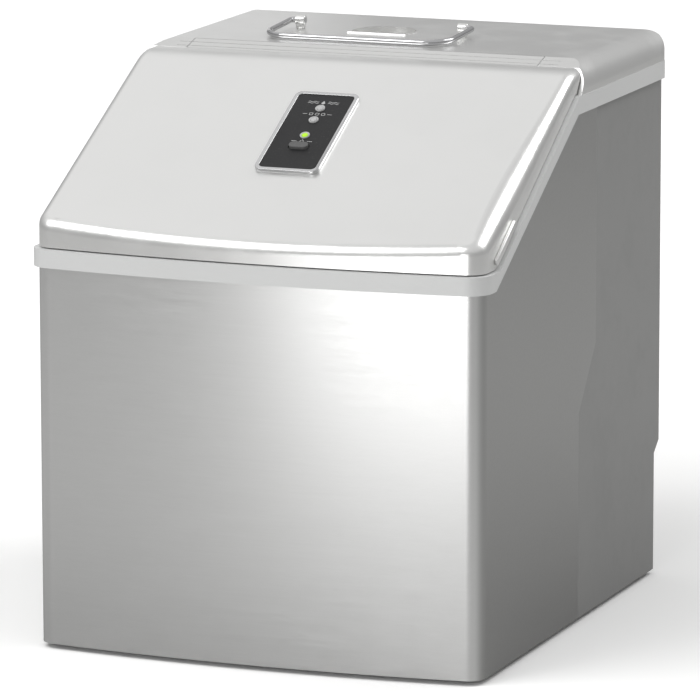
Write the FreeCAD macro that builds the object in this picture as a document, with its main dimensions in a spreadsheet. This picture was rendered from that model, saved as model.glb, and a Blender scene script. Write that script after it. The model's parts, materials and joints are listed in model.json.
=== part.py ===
import FreeCAD, Part
import math
import os
import re
import Sketcher
from FreeCAD import Placement, Rotation, Vector

# Countertop ice maker. +Z is up, the front faces -Y, and the origin is at the middle of the
# bounding box's underside, so the feet stand on z = 0. All sizes are in millimetres.

document = FreeCAD.newDocument("ice_maker")

# Driving sizes. Lengths measured "from the front" start at the plane of the front corners.
sizes = {
    # Overall cabinet
    "width": 360, "depth": 428, "height": 430,
    "bow": 10, "corner_radius": 14, "rear_radius": 10,
    "trim_proud": 4, "rear_proud": 2,
    "shell_wall": 1.2, "fit_gap": 0.2,
    # Trim band: front band, sloped rails and side bands
    "trim_low": 289.7, "side_low": 393.2, "trim_tall": 13.6,
    "rail_foot": 22.4, "rail_foot_top": 30, "knee_low": 202, "knee_top": 204.4,
    "shell_lap": 5, "rim_wall": 2.5, "lip_width": 8,
    # Seam and step of the rear shell
    "seam_low": 217.5, "seam_high": 256, "seam_low_z": 163, "seam_high_z": 211,
    "step_depth": 11.5, "step_low": 99, "step_high": 108,
    # Base
    "foot_height": 4, "foot_radius": 11, "foot_peg": 4, "foot_inset_x": 34, "foot_inset_y": 40,
    "pan_lift": 1, "pan_wall": 3, "pan_rim": 14,
    # Lid
    "lid_gap": 1, "lid_side_gap": 3.7, "lid_wall": 2.5, "lid_corner": 15,
    "lid_edge_side": 8, "lid_edge_front": 11,
    "lid_angle": 26.7, "lid_slope_y": 193, "lid_slope_z": 420, "lid_top_z": 425.3, "lid_top_radius": 50,
    "lid_rear": 221.5, "lid_rear_low": 207, "lid_rear_brow": 217.5, "lid_front_gap": 0.3,
    "pull_start": 31, "pull_long": 46, "pull_tall": 5.5, "pull_proud": 2.5, "pull_lift": 2.5,
    "lid_foam_wall": 13, "liner_wall": 2, "seal_tall": 5,
    # Lid hinge
    "hinge_y": 231, "hinge_drop": 6, "knuckle_radius": 10.8, "hinge_x": -2.8, "knuckle_half": 142.2,
    "knuckle_gap": 0.5, "web_drop": 1, "web_lap": 3,
    "notch_gap": 0.8, "pin_radius": 2.2, "pin_fit": 0.05, "pin_reach": 20,
    "strip_low_y": 222.5, "strip_low_z": 425.2, "strip_back": 240,
    "groove_one": 3.5, "groove_two": 10.5, "groove_wide": 0.7, "groove_deep": 0.5, "groove_half": 155,
    # Top cover
    "cover_inset": 0.3, "cover_edge": 19, "cover_rear_edge": 6, "cover_wall": 2.5,
    "cover_front": 208.5, "cover_brow": 219.5, "boss_wide": 14, "boss_radius": 5,
    # Wire handle and finger grip
    "handle_x": -22.5, "handle_span": 150, "wire_radius": 2.25, "handle_bar_y": 258, "handle_pivot_y": 320,
    "handle_bend": 20, "handle_rest": 0.5, "handle_pivot_lift": 6.5, "handle_hook": 12,
    "bracket_wide": 8, "bracket_long": 9, "bracket_tall": 10.5, "bracket_gap": 1.5,
    "grip_y": 310, "grip_radius": 25, "grip_set": 16, "grip_depth": 5, "grip_bar": 2.6, "grip_rise": 0.9,
    # Control panel on the lid slope: distances run down the slope from its upper reference line
    "panel_x": -3.4, "panel_wide": 51, "panel_long": 101, "panel_start": 36, "panel_rise": 3, "panel_rim": 3,
    "panel_sink": 0.8, "panel_corner": 6, "lamp_one": 56.4, "lamp_two": 71.4, "lamp_three": 91.4,
    "lamp_radius": 3.75, "lamp_wall": 1.4, "lamp_rise": 0.8, "button_at": 105.4,
    "button_long": 16, "button_wide": 7, "button_rise": 2.4, "button_gap": 0.3,
    # Ice compartment
    "tub_wall": 3, "tub_half": 156, "tub_setback": 14, "tub_back": 219, "tub_floor": 60,
    "foam_side": 12, "bulkhead_wall": 1.2, "foam_back": 17,
    # Ice making
    "tray_axis_y": 182, "tray_axis_z": 300, "tray_reach": 62, "tray_drop": 32, "tray_half": 118,
    "tray_wall": 2.5, "tray_lip": 5, "tray_shaft": 4, "coil_radius": 4, "coil_z": 324,
    "coil_front": 137, "coil_back": 162, "coil_half": 104, "finger_radius": 4.5, "finger_tall": 38,
    "finger_pitch": 40, "chute_long": 100, "chute_start": 115, "chute_low": 186, "chute_angle": 19.5,
    "basket_half": 140, "basket_back": 110, "basket_low": 105, "basket_high": 184, "basket_wall": 2.2,
    "basket_corner": 4,
    "slot_pitch": 28, "slot_wide": 5, "pump_x": -45, "pump_y": 155, "hose_radius": 4, "hose_clear": 3,
    "float_x": 95,
    "drain_y": 60, "drain_radius": 9, "drain_wall": 2, "cap_wall": 3,
    # Machine compartment
    "can_x": -92, "can_y": 318, "can_radius": 58, "can_tall": 140, "can_lift": 16, "plate_wall": 3,
    "fan_x": 76, "fan_z": 235, "fan_radius": 52, "fin_wall": 0.6, "fin_pitch": 6,
    "fin_half": 66, "fin_deep": 26, "run_pitch": 30, "run_radius": 3.5, "duct_deep": 20, "duct_gap": 2.5,
    "motor_radius": 23, "motor_long": 34, "shaft_radius": 2.5, "hub_radius": 15,
    "valve_z": 215, "drier_x": -20, "drier_z": 215,
    "box_left": 162, "box_wide": 130, "box_deep": 110, "box_tall": 48, "box_drop": 50,
    "grille_half": 78, "grille_wall": 2.5, "grille_pitch": 12, "grille_slot": 6,
    "inlet_x": -130, "inlet_z": 62, "inlet_wide": 27, "inlet_tall": 20, "screw_radius": 1.9,
}
sheet = document.addObject("Spreadsheet::Sheet", "Sizes")
for row, (word, value) in enumerate(sizes.items(), 1):
    sheet.set(f"A{row}", word)
    sheet.set(f"B{row}", str(value))
    sheet.setAlias(f"B{row}", word)
document.recompute()

nodes = []


def rule(text):
    # A rule is written with plain size words; this adds the sheet's name to each of them.
    return re.sub(r"[a-z][a-z_0-9]*",
                  lambda word: f"Sizes.{word[0]}" if word[0] in sizes else word[0], str(text))


def number(text):
    return float(sheet.evalExpression(rule(text)))


# Places that several pieces share
front = "(trim_proud + bow - depth/2)"
back = "(depth/2 - rear_proud)"
half = "(width/2 - trim_proud)"
base = "foot_height"
floor = "(foot_height + pan_lift + pan_wall)"
trimTop = "(trim_low + trim_tall)"
sideTop = "(side_low + trim_tall)"
hingeY = f"({front} + hinge_y)"
hingeZ = "(height - hinge_drop)"
hingeLeft = "(hinge_x - knuckle_half)"
hingeRight = "(hinge_x + knuckle_half)"
stepBack = f"({back} - step_depth)"
gripY = f"({front} + grip_y)"
grilleLeft, grilleRight = "(fan_x - grille_half)", "(fan_x + grille_half)"
grilleLow, grilleHigh = "(fan_z - grille_half)", "(fan_z + grille_half)"
drainY = f"({front} + drain_y)"
drainZ = "(tub_floor + tub_wall + drain_radius + 4)"


def drive(piece, **values):
    for name, text in values.items():
        piece.setExpression(name, rule(text))
    return piece


def place(piece, x=0, y=0, z=0):
    for axis, text in zip("xyz", (x, y, z)):
        piece.setExpression(f".Placement.Base.{axis}", rule(text))
    return piece


def turn(piece, axis, angle):
    for name, value in zip("xyz", axis):
        piece.setExpression(f".Placement.Rotation.Axis.{name}", str(value))
    piece.setExpression(".Placement.Rotation.Angle", rule(angle))
    return piece


def node(piece, name):
    piece.Label = name
    nodes.append(piece)
    return piece


def block(name, xs, ys, zs):
    piece = document.addObject("Part::Box", name)
    spans = {key: f"({high}) - ({low})" for key, (low, high) in zip(("Length", "Width", "Height"), (xs, ys, zs))}
    drive(piece, **spans)
    return place(piece, xs[0], ys[0], zs[0])


def rod(name, axis, start, radius, length):
    piece = document.addObject("Part::Cylinder", name)
    drive(piece, Radius=radius, Height=length)
    place(piece, *start)
    if axis == "X":
        turn(piece, (0, 1, 0), 90)
    if axis == "Y":
        turn(piece, (1, 0, 0), -90)
    return piece


def join(name, *pieces):
    whole = document.addObject("Part::MultiFuse", name)
    whole.Shapes = list(pieces)
    whole.Refine = True
    return whole


def cut(name, solid, *tools):
    piece = document.addObject("Part::Cut", name)
    piece.Base = solid
    piece.Tool = tools[0] if len(tools) == 1 else join(f"{name}_tools", *tools)
    piece.Refine = True
    return piece


def shared(name, *pieces):
    piece = document.addObject("Part::MultiCommon", name)
    piece.Shapes = list(pieces)
    piece.Refine = True
    return piece


def group(name, pieces):
    # Separate solids that share one node, such as identical fasteners
    whole = document.addObject("Part::Compound", name)
    whole.Links = list(pieces)
    return whole


def sketchOn(body, role, name, offset=None):
    plane = [part for part in body.Origin.OriginFeatures if part.Role == role][0]
    sketch = body.newObject("Sketcher::SketchObject", name)
    sketch.AttachmentSupport = [(plane, "")]
    sketch.MapMode = "FlatFace"
    if offset:
        sketch.setExpression(".AttachmentOffset.Base.z", rule(offset))
    return sketch


def loop(sketch, corners):
    # corners: (x, y) starts a straight side; (x, y, radius, "left" or "right") starts an arc
    # whose centre lies on that side of the way to the next corner.
    # A corner that falls on the next one is left out.
    first = sketch.GeometryCount
    spots = [Vector(number(corner[0]), number(corner[1]), 0) for corner in corners]
    kept = [index for index in range(len(spots))
            if spots[index].distanceToPoint(spots[index - len(spots) + 1]) > 1e-6]
    corners = [corners[index] for index in kept]
    spots = [spots[index] for index in kept]
    starts, ends = [], []
    for index, corner in enumerate(corners):
        here, there = spots[index], spots[(index + 1) % len(spots)]
        if len(corner) == 2:
            sketch.addGeometry(Part.LineSegment(here, there))
            starts.append(1)
            ends.append(2)
            continue
        radius, side = number(corner[2]), corner[3]
        chord = there - here
        normal = Vector(-chord.y, chord.x, 0).normalize()
        lift = max(radius ** 2 - (chord.Length / 2) ** 2, 0) ** 0.5
        centre = (here + there) / 2 + normal * (lift if side == "left" else -lift)
        begin, finish = (here, there) if side == "left" else (there, here)
        circle = Part.Circle(centre, Vector(0, 0, 1), radius)
        sketch.addGeometry(Part.ArcOfCircle(circle, circle.parameter(begin), circle.parameter(finish)))
        starts.append(1 if side == "left" else 2)
        ends.append(2 if side == "left" else 1)
    count = len(corners)
    for index in range(count):
        after = (index + 1) % count
        sketch.addConstraint(Sketcher.Constraint(
            "Coincident", first + index, ends[index], first + after, starts[after]))
    for index, corner in enumerate(corners):
        for kind, text in (("DistanceX", corner[0]), ("DistanceY", corner[1])):
            place_rule = sketch.addConstraint(Sketcher.Constraint(
                kind, -1, 1, first + index, starts[index], number(text)))
            sketch.setExpression(f"Constraints[{place_rule}]", rule(text))
        if len(corner) == 4:
            size_rule = sketch.addConstraint(Sketcher.Constraint("Radius", first + index, number(corner[2])))
            sketch.setExpression(f"Constraints[{size_rule}]", rule(corner[2]))
    return sketch


def pad(body, sketch, length, symmetric=False):
    feature = body.newObject("PartDesign::Pad", f"{sketch.Name}_pad")
    feature.Profile = sketch
    feature.SideType = "Symmetric" if symmetric else "One side"
    drive(feature, Length=length)
    body.Tip = feature
    return feature


def pocketThrough(body, sketch):
    feature = body.newObject("PartDesign::Pocket", f"{sketch.Name}_pocket")
    feature.Profile = sketch
    feature.Type = "ThroughAll"
    feature.SideType = "Symmetric"
    body.Tip = feature
    return feature


def sideSlab(name, corners, width):
    # A profile seen from the side, in Y and Z, padded evenly to both sides
    body = document.addObject("PartDesign::Body", name)
    pad(body, loop(sketchOn(body, "YZ_Plane", f"{name}_profile"), corners), width, symmetric=True)
    return body


def planCorners(halfWidth, frontY, backY, corner, rearCorner=None):
    straight = f"({halfWidth} - ({corner}))"
    bowRadius = f"(({straight})^2 + bow^2)/(2*bow)"
    corners = [
        (f"-({halfWidth})", f"{frontY} + ({corner})", corner, "left"),
        (f"-({straight})", frontY, bowRadius, "left"),
        (straight, frontY, corner, "left"),
    ]
    if rearCorner is None:
        return corners + [(halfWidth, f"{frontY} + ({corner})"), (halfWidth, backY), (f"-({halfWidth})", backY)]
    return corners + [
        (halfWidth, f"{frontY} + ({corner})"),
        (halfWidth, f"{backY} - ({rearCorner})", rearCorner, "left"),
        (f"{halfWidth} - ({rearCorner})", backY),
        (f"-({halfWidth}) + ({rearCorner})", backY, rearCorner, "left"),
        (f"-({halfWidth})", f"{backY} - ({rearCorner})"),
    ]


def planSlab(name, halfWidth, frontY, backY, corner, low, high, rearCorner=None):
    body = document.addObject("PartDesign::Body", name)
    sketch = loop(sketchOn(body, "XY_Plane", f"{name}_plan", low),
                  planCorners(halfWidth, frontY, backY, corner, rearCorner))
    pad(body, sketch, f"({high}) - ({low})")
    return body


def railLine(rise):
    # The lower edge of the trim seen from the side, raised by "rise"
    return [
        (f"{front} - 30", f"trim_low + {rise}"), (f"{front} + rail_foot", f"trim_low + {rise}"),
        (f"{front} + knee_low", f"side_low + {rise}"), (f"{back} + 30", f"side_low + {rise}"),
    ]


topLine = [
    (f"{front} - 30", trimTop), (f"{front} + rail_foot_top", trimTop),
    (f"{front} + knee_top", sideTop), (f"{back} + 30", sideTop),
]


def band(name, lower, upper, width="width + 20"):
    return sideSlab(name, lower + upper[::-1], width)


def underRail(name, frontY, backY, low, rise, width):
    # A block whose top follows the rails, from frontY to backY
    return sideSlab(name, [
        (frontY, low), (backY, low), (backY, f"side_low + {rise}"), (f"{front} + knee_low", f"side_low + {rise}"),
        (f"{front} + rail_foot", f"trim_low + {rise}"), (frontY, f"trim_low + {rise}"),
    ], width)


def roundEdges(name, piece, test, radius):
    # radius is a rule, or a function of an edge that gives its two end radii in millimetres
    document.recompute()
    feature = document.addObject("Part::Fillet", name)
    feature.Base = piece
    chosen = []
    for index, edge in enumerate(piece.Shape.Edges, 1):
        if test(edge):
            ends = radius(edge) if callable(radius) else (number(radius), number(radius))
            chosen.append((index, *ends))
    feature.Edges = chosen
    return feature


# Trim band

def makeTrim():
    rise = "shell_lap + rim_wall"
    outer = planSlab("trim_outer", "width/2", f"{front} - trim_proud", "depth/2", "corner_radius + trim_proud",
                     "trim_low - 5", f"{sideTop} + 5", "rear_radius")
    bodyPlan = planSlab("trim_hollow", half, front, back, "corner_radius", "trim_low - 10", f"{sideTop} + 10", "3")
    lipPlan = planSlab("lip_hollow", f"({half} - lip_width)", f"{front} + lip_width", f"({back} - lip_width)",
                       "corner_radius - lip_width", "trim_low - 10", f"{sideTop} + 10", "2")
    wall = cut("trim_wall", outer, bodyPlan)
    wholeBand = shared("trim_side_band", wall, band("trim_profile", railLine("0"), topLine))
    lipRing = cut("lip_ring", planSlab("lip_outer", half, front, back, "corner_radius", "trim_low - 5",
                                       f"{sideTop} + 5", "3"), lipPlan)
    lip = shared("trim_lip", lipRing, band("lip_profile", railLine(rise), topLine))
    node(join("trim", wholeBand, lip), "trim_frame")


# Outer shells

def makeFrontShell():
    body = document.addObject("PartDesign::Body", "front_wrap")
    ends = f"{front} + seam_high"
    inner = f"({half} - shell_wall)"
    outerArc = f"(({half} - corner_radius)^2 + bow^2)/(2*bow)"
    sketch = sketchOn(body, "XY_Plane", "front_wrap_plan", base)
    inCorner = "(corner_radius - shell_wall)"
    loop(sketch, [
        (f"-{half}", ends), (f"-{half}", f"{front} + corner_radius", "corner_radius", "left"),
        (f"-({half} - corner_radius)", front, outerArc, "left"),
        (f"{half} - corner_radius", front, "corner_radius", "left"),
        (half, f"{front} + corner_radius"), (half, ends), (inner, ends),
        (inner, f"{front} + corner_radius", inCorner, "right"),
        (f"{half} - corner_radius", f"{front} + shell_wall", outerArc, "right"),
        (f"-({half} - corner_radius)", f"{front} + shell_wall", inCorner, "right"),
        (f"-{inner}", f"{front} + corner_radius"), (f"-{inner}", ends),
    ])
    pad(body, sketch, f"side_low + shell_lap - {base}")
    above = sketchOn(body, "YZ_Plane", "front_wrap_top")
    line = railLine("shell_lap")
    loop(above, [line[0], line[1], line[2], (f"{front} + knee_low", "height"), (f"{front} - 30", "height")])
    pocketThrough(body, above)
    behind = sketchOn(body, "YZ_Plane", "front_wrap_seam")
    loop(behind, [
        (f"{front} + seam_low", "0"), (f"{back}", "0"), (f"{back}", "seam_high_z"),
        (f"{front} + seam_high", "seam_high_z"), (f"{front} + seam_low", "seam_low_z"),
    ])
    pocketThrough(body, behind)
    hole = rod("drain_hole", "X", (f"-{half} - 5", drainY, drainZ), "drain_radius + fit_gap", "20")
    node(cut("front_wrap_drilled", body, hole), "front_shell")


def rearProfile(inset, reach):
    return [
        (f"{front} + seam_low - {reach}", f"{base} - {reach}"),
        (f"{back} - step_depth - {inset}", f"{base} - {reach}"),
        (f"{back} - step_depth - {inset}", "step_low"), (f"{back} - {inset}", "step_high"),
        (f"{back} - {inset}", f"side_low + shell_lap + {reach}"),
        (f"{front} + seam_high - {reach}", f"side_low + shell_lap + {reach}"),
        (f"{front} + seam_high - {reach}", "seam_high_z"), (f"{front} + seam_low - {reach}", "seam_low_z"),
    ]


def makeRearShell():
    outer = sideSlab("rear_outer", rearProfile("0", "0"), f"2*{half}")
    rounded = roundEdges("rear_rounded", outer, lambda edge: isUpright(edge) and edge.CenterOfMass.y > 100, "3")
    hollow = sideSlab("rear_hollow", rearProfile("shell_wall", "6"), f"2*({half} - shell_wall)")
    window = block("grille_window", (f"{grilleLeft} + 6", f"{grilleRight} - 6"), (f"{back} - 10", f"{back} + 5"),
                   (f"{grilleLow} + 6", f"{grilleHigh} - 6"))
    socket = block("inlet_window", ("inlet_x - inlet_wide/2", "inlet_x + inlet_wide/2"),
                   (f"{stepBack} - 10", f"{stepBack} + 5"), ("inlet_z - inlet_tall/2", "inlet_z + inlet_tall/2"))
    drilled = [rod(f"rear_screw_hole{index}", "Y", (x, f"{wall} - 5", z), "screw_radius", "10")
               for index, (x, wall, z) in enumerate(rearScrews)]
    node(cut("rear_cut", rounded, hollow, window, socket, *drilled), "rear_shell")


def isUpright(edge):
    low, high = edge.Vertexes[0].Point, edge.Vertexes[-1].Point
    return abs(high.z - low.z) > 20 and abs(high.x - low.x) + abs(high.y - low.y) < 0.01


def makeGrille():
    plate = block("grille_plate", (grilleLeft, grilleRight),
                  (f"{back} - shell_wall - grille_wall", f"{back} - shell_wall"),
                  (grilleLow, grilleHigh))
    slats = []
    count = int(number(f"({grilleHigh} - {grilleLow} - 24)/grille_pitch"))
    for index in range(count):
        slats.append(block(f"grille_slot{index}", (f"{grilleLeft} + 12", f"{grilleRight} - 12"),
                           (f"{back} - 15", f"{back} + 5"),
                           (f"{grilleLow} + 14 + {index}*grille_pitch",
                            f"{grilleLow} + 14 + {index}*grille_pitch + grille_slot")))
    rib = block("grille_rib", (f"({grilleLeft} + {grilleRight})/2 - 3", f"({grilleLeft} + {grilleRight})/2 + 3"),
                (f"{back} - shell_wall - grille_wall", f"{back} - shell_wall"), (grilleLow, grilleHigh))
    node(join("grille", cut("grille_slotted", plate, *slats), rib), "back_grille")


def makeBase():
    inner = f"({half} - shell_wall - fit_gap)"
    panLow = f"({base} + pan_lift)"
    tray = planSlab("pan_outer", inner, f"{front} + shell_wall + fit_gap",
                    f"({back} - step_depth - shell_wall - fit_gap)", "corner_radius - shell_wall - fit_gap",
                    panLow, f"{floor} + pan_rim", "2")
    hollow = planSlab("pan_inner", f"({inner} - pan_wall)", f"{front} + shell_wall + fit_gap + pan_wall",
                      f"({back} - step_depth - shell_wall - fit_gap - pan_wall)",
                      "corner_radius - shell_wall - fit_gap - pan_wall", floor, f"{floor} + pan_rim + 5", "2")
    pegs = [rod(f"peg_hole{index}", "Z", (x, y, "0"), "foot_peg", "20") for index, (x, y) in enumerate(footSpots)]
    node(cut("pan", tray, hollow, *pegs), "base_pan")
    feet = []
    for index, (x, y) in enumerate(footSpots):
        pad_part = rod(f"foot_pad{index}", "Z", (x, y, "0"), "foot_radius", panLow)
        peg = rod(f"foot_peg{index}", "Z", (x, y, "2"), "foot_peg - 0.05", f"{floor} - 2.5")
        feet.append(join(f"foot{index}", pad_part, peg))
    node(group("feet", feet), "rubber_feet")


footSpots = [(f"{side}*({half} - foot_inset_x)", y) for side in (-1, 1)
             for y in (f"({front} + foot_inset_y)", f"({back} - step_depth - foot_inset_y)")]


# Top cover, hinge pins and wire handle

def frontSlab(name, corners, depth):
    # A profile seen from the front, in X and Z, padded evenly to front and back
    body = document.addObject("PartDesign::Body", name)
    pad(body, loop(sketchOn(body, "XZ_Plane", f"{name}_profile"), corners), depth, symmetric=True)
    return body


def coverBlock(name, inset, drop):
    wide = f"(width/2 - cover_inset - {inset})"
    rear = f"(depth/2 - cover_inset - {inset})"
    top = f"(height - {inset})"
    low = f"({sideTop} - {drop})"
    edge = f"(cover_edge - {inset})"
    rearEdge = f"(cover_rear_edge - {inset})"
    side = sideSlab(f"{name}_side", [
        (f"{front} + cover_front + {inset}", low), (f"{front} + cover_front + {inset}", sideTop),
        (f"{front} + cover_brow + {inset}", f"strip_low_z - 4 - {inset}"),
        (f"{front} + strip_low_y + {inset}", f"strip_low_z - {inset}"), (f"{front} + strip_back", top),
        (f"{rear} - ({rearEdge})", top, rearEdge, "right"), (rear, f"{top} - ({rearEdge})"), (rear, low),
    ], "width")
    across = frontSlab(f"{name}_front", [
        (f"-({wide})", low), (wide, low), (wide, f"{top} - ({edge})", edge, "left"),
        (f"{wide} - ({edge})", top), (f"-({wide}) + ({edge})", top, edge, "left"),
        (f"-({wide})", f"{top} - ({edge})"),
    ], "depth + 40")
    plan = planSlab(f"{name}_plan", wide, f"({front} - 40)", rear, "corner_radius", f"{low} - 5", "height + 5",
                    f"rear_radius - {inset}")
    return shared(name, side, across, plan)


def ring(name, axis, start, outer, inner, length):
    hollowStart = list(start)
    hollowStart["XYZ".index(axis)] += " - 1"
    return cut(name, rod(f"{name}_outer", axis, start, outer, length),
               rod(f"{name}_inner", axis, hollowStart, inner, f"{length} + 2"))


def gripDish(name, margin, low, high):
    # A round finger dish whose front is cut straight along the grip bar
    disc = rod(f"{name}_round", "Z", ("handle_x", f"{gripY} + grip_set", low), f"grip_radius + {margin}",
               f"({high}) - ({low})")
    return cut(name, disc, block(f"{name}_front", ("handle_x - 60", "handle_x + 60"),
                                 (f"{gripY} - 60", f"{gripY} - {margin}"), (f"{low} - 1", f"{high} + 1")))


def hingeGrooves(name):
    # Two fine lines that run along the sloped hinge strip
    rise = "((height - strip_low_z)/(strip_back - strip_low_y))"
    lines = []
    for index, along in enumerate(("groove_one", "groove_two")):
        y, z = f"{front} + strip_low_y + {along}", f"strip_low_z + {along}*{rise}"
        lines.append(sideSlab(f"{name}{index}", [
            (y, f"{z} - groove_deep"), (f"{y} + groove_wide", f"{z} - groove_deep"),
            (f"{y} + groove_wide", f"{z} + 2"), (y, f"{z} + 2"),
        ], "2*groove_half"))
    return lines


def makeTopCover():
    outer = coverBlock("cover_outer", "0", "0")
    inner = coverBlock("cover_inner", "cover_wall", "10")
    notch = rod("hinge_notch", "X", (f"{hingeLeft} - knuckle_gap", hingeY, hingeZ), "knuckle_radius + notch_gap",
                "2*(knuckle_half + knuckle_gap)")
    mouth = block("hinge_mouth", (f"{hingeLeft} - knuckle_gap", f"{hingeRight} + knuckle_gap"),
                  (f"{front} + 190", hingeY), (f"{hingeZ} - knuckle_radius - notch_gap", "height + 5"))
    bosses = []
    for side, start in (
            ("left", f"{hingeLeft} - knuckle_gap - boss_wide"), ("right", f"{hingeRight} + knuckle_gap")):
        bosses.append(rod(f"pin_boss_{side}", "X", (start, hingeY, hingeZ), "boss_radius", "boss_wide"))
    bossCut = shared("pin_bosses", join("pin_boss_pair", *bosses), coverBlock("cover_limit", "0.2", "0"))
    wallCurve = ring("notch_wall", "X", (f"{hingeLeft} - knuckle_gap - 2", hingeY, hingeZ),
                     "knuckle_radius + notch_gap + cover_wall", "knuckle_radius + notch_gap",
                     "2*(knuckle_half + knuckle_gap) + 4")
    behindHinge = block("behind_hinge", (f"{hingeLeft} - knuckle_gap - 2", f"{hingeRight} + knuckle_gap + 2"),
                        (f"{hingeY} + 2", f"{hingeY} + 20"), (f"{sideTop} + 1", f"height - 0.4"))
    curve = shared("notch_wall_part", wallCurve, behindHinge)
    dish = gripDish("dish", "0", "height - grip_depth", "height + 5")
    dishWall = gripDish("dish_wall", "cover_wall", "height - grip_depth - cover_wall", "height - 0.4")
    bar = shared("grip_bar", rod("grip_bar_round", "X",
                                 ("handle_x - grip_radius + 1", f"{gripY} + 0.6", "height - 0.6"),
                                 "grip_bar", "2*(grip_radius - 1)"),
                 block("grip_bar_limit", ("handle_x - 60", "handle_x + 60"), (f"{gripY} - 10", f"{gripY} + 10"),
                       ("height - 2", "height + grip_rise")))
    rim = cut("grip_rim", gripDish("grip_rim_outer", "2", "height - 1", "height + grip_rise/2"),
              gripDish("grip_rim_inner", "0", "height - 2", "height + 5"),
              block("rim_front", ("handle_x - 60", "handle_x + 60"), (f"{gripY} - 20", f"{gripY} + 2"),
                    ("height - 10", "height + 10")))
    shell = cut("cover_shell", outer, cut("cover_core", inner, dishWall))
    solid = join("cover_joined", shell, bossCut, curve)
    pins = [rod(f"pin_hole_{side}", "X", (start, hingeY, hingeZ), "pin_radius", "boss_wide + 0.2")
            for side, start in (("left", f"{hingeLeft} - knuckle_gap - boss_wide"),
                                ("right", f"{hingeRight} + knuckle_gap - 0.2"))]
    opened = cut("cover_cut", solid, notch, mouth, dish, *pins, *hingeGrooves("cover_groove"))
    node(join("cover_all", opened, bar, rim), "top_cover")


def makePins():
    left = rod("pin_left", "X", (f"{hingeLeft} - knuckle_gap - boss_wide", hingeY, hingeZ), "pin_radius",
               "boss_wide + knuckle_gap + pin_reach")
    right = rod("pin_right", "X", (f"{hingeRight} - pin_reach", hingeY, hingeZ), "pin_radius",
                "boss_wide + knuckle_gap + pin_reach")
    node(group("pins", [left, right]), "hinge_pins")


def tube(points, bends, radius):
    # A round bar or pipe along straight runs joined by tangent arcs
    spots = [Vector(*point) for point in points]
    edges = []
    start = spots[0]
    for index in range(1, len(spots) - 1):
        before = (spots[index - 1] - spots[index]).normalize()
        after = (spots[index + 1] - spots[index]).normalize()
        bend = bends[index - 1] if isinstance(bends, (list, tuple)) else bends
        turnAngle = before.getAngle(after)
        reach = bend / math.tan(turnAngle / 2)
        first, last = spots[index] + before * reach, spots[index] + after * reach
        middle = (before + after).normalize()
        centre = spots[index] + middle * (bend ** 2 + reach ** 2) ** 0.5
        edges.append(Part.makeLine(start, first))
        edges.append(Part.Arc(first, centre - middle * bend, last).toShape())
        start = last
    edges.append(Part.makeLine(start, spots[-1]))
    path = Part.Wire(edges)
    profile = Part.Wire([Part.Circle(spots[0], spots[1] - spots[0], radius).toShape()])
    return path.makePipeShell([profile], True, False)


def makeHandle():
    barY = number(f"{front} + handle_bar_y")
    pivotY = number(f"{front} + handle_pivot_y")
    barZ = number("height + handle_rest + wire_radius")
    pivotZ = number("height + handle_pivot_lift")
    middle, reach = number("handle_x"), number("handle_span/2")
    hook = number("handle_hook")
    wire = number("wire_radius")
    bend = number("handle_bend")
    path = [
        (middle - reach + hook, pivotY, pivotZ), (middle - reach, pivotY, pivotZ), (middle - reach, barY, barZ),
        (middle + reach, barY, barZ), (middle + reach, pivotY, pivotZ), (middle + reach - hook, pivotY, pivotZ),
    ]
    handle = document.addObject("Part::Feature", "wire_handle")
    handle.Shape = tube(path, [wire * 1.6, bend, bend, wire * 1.6], wire)
    node(handle, "carry_handle")
    brackets = []
    for index, side in enumerate((-1, 1)):
        outer = f"handle_x + {side}*(handle_span/2 - wire_radius - bracket_gap)"
        inner = f"handle_x + {side}*(handle_span/2 - wire_radius - bracket_gap - bracket_wide)"
        spans = (inner, outer) if side == 1 else (outer, inner)
        # The bracket stands inside the leg; the turned-in wire end runs in its bore.
        body = block(f"bracket_block{index}", spans, (f"{front} + handle_pivot_y - bracket_long/2",
                     f"{front} + handle_pivot_y + bracket_long/2"), ("height", "height + bracket_tall"))
        top = roundEdges(f"bracket_round{index}", body, isCrossTop, "3.5")
        bore = rod(f"bracket_bore{index}", "X", (f"{spans[0]} - 5", f"{front} + handle_pivot_y",
                   "height + handle_pivot_lift"), "wire_radius + 0.08", "bracket_wide + 10")
        brackets.append(cut(f"bracket{index}", top, bore))
    node(group("brackets", brackets), "handle_brackets")


def isCrossTop(edge):
    low, high = edge.Vertexes[0].Point, edge.Vertexes[-1].Point
    return abs(high.x - low.x) > 5 and low.z > number("height + bracket_tall - 1") and abs(high.z - low.z) < 0.01


# Lid

lidHalf = "(width/2 - lid_side_gap)"


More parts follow.
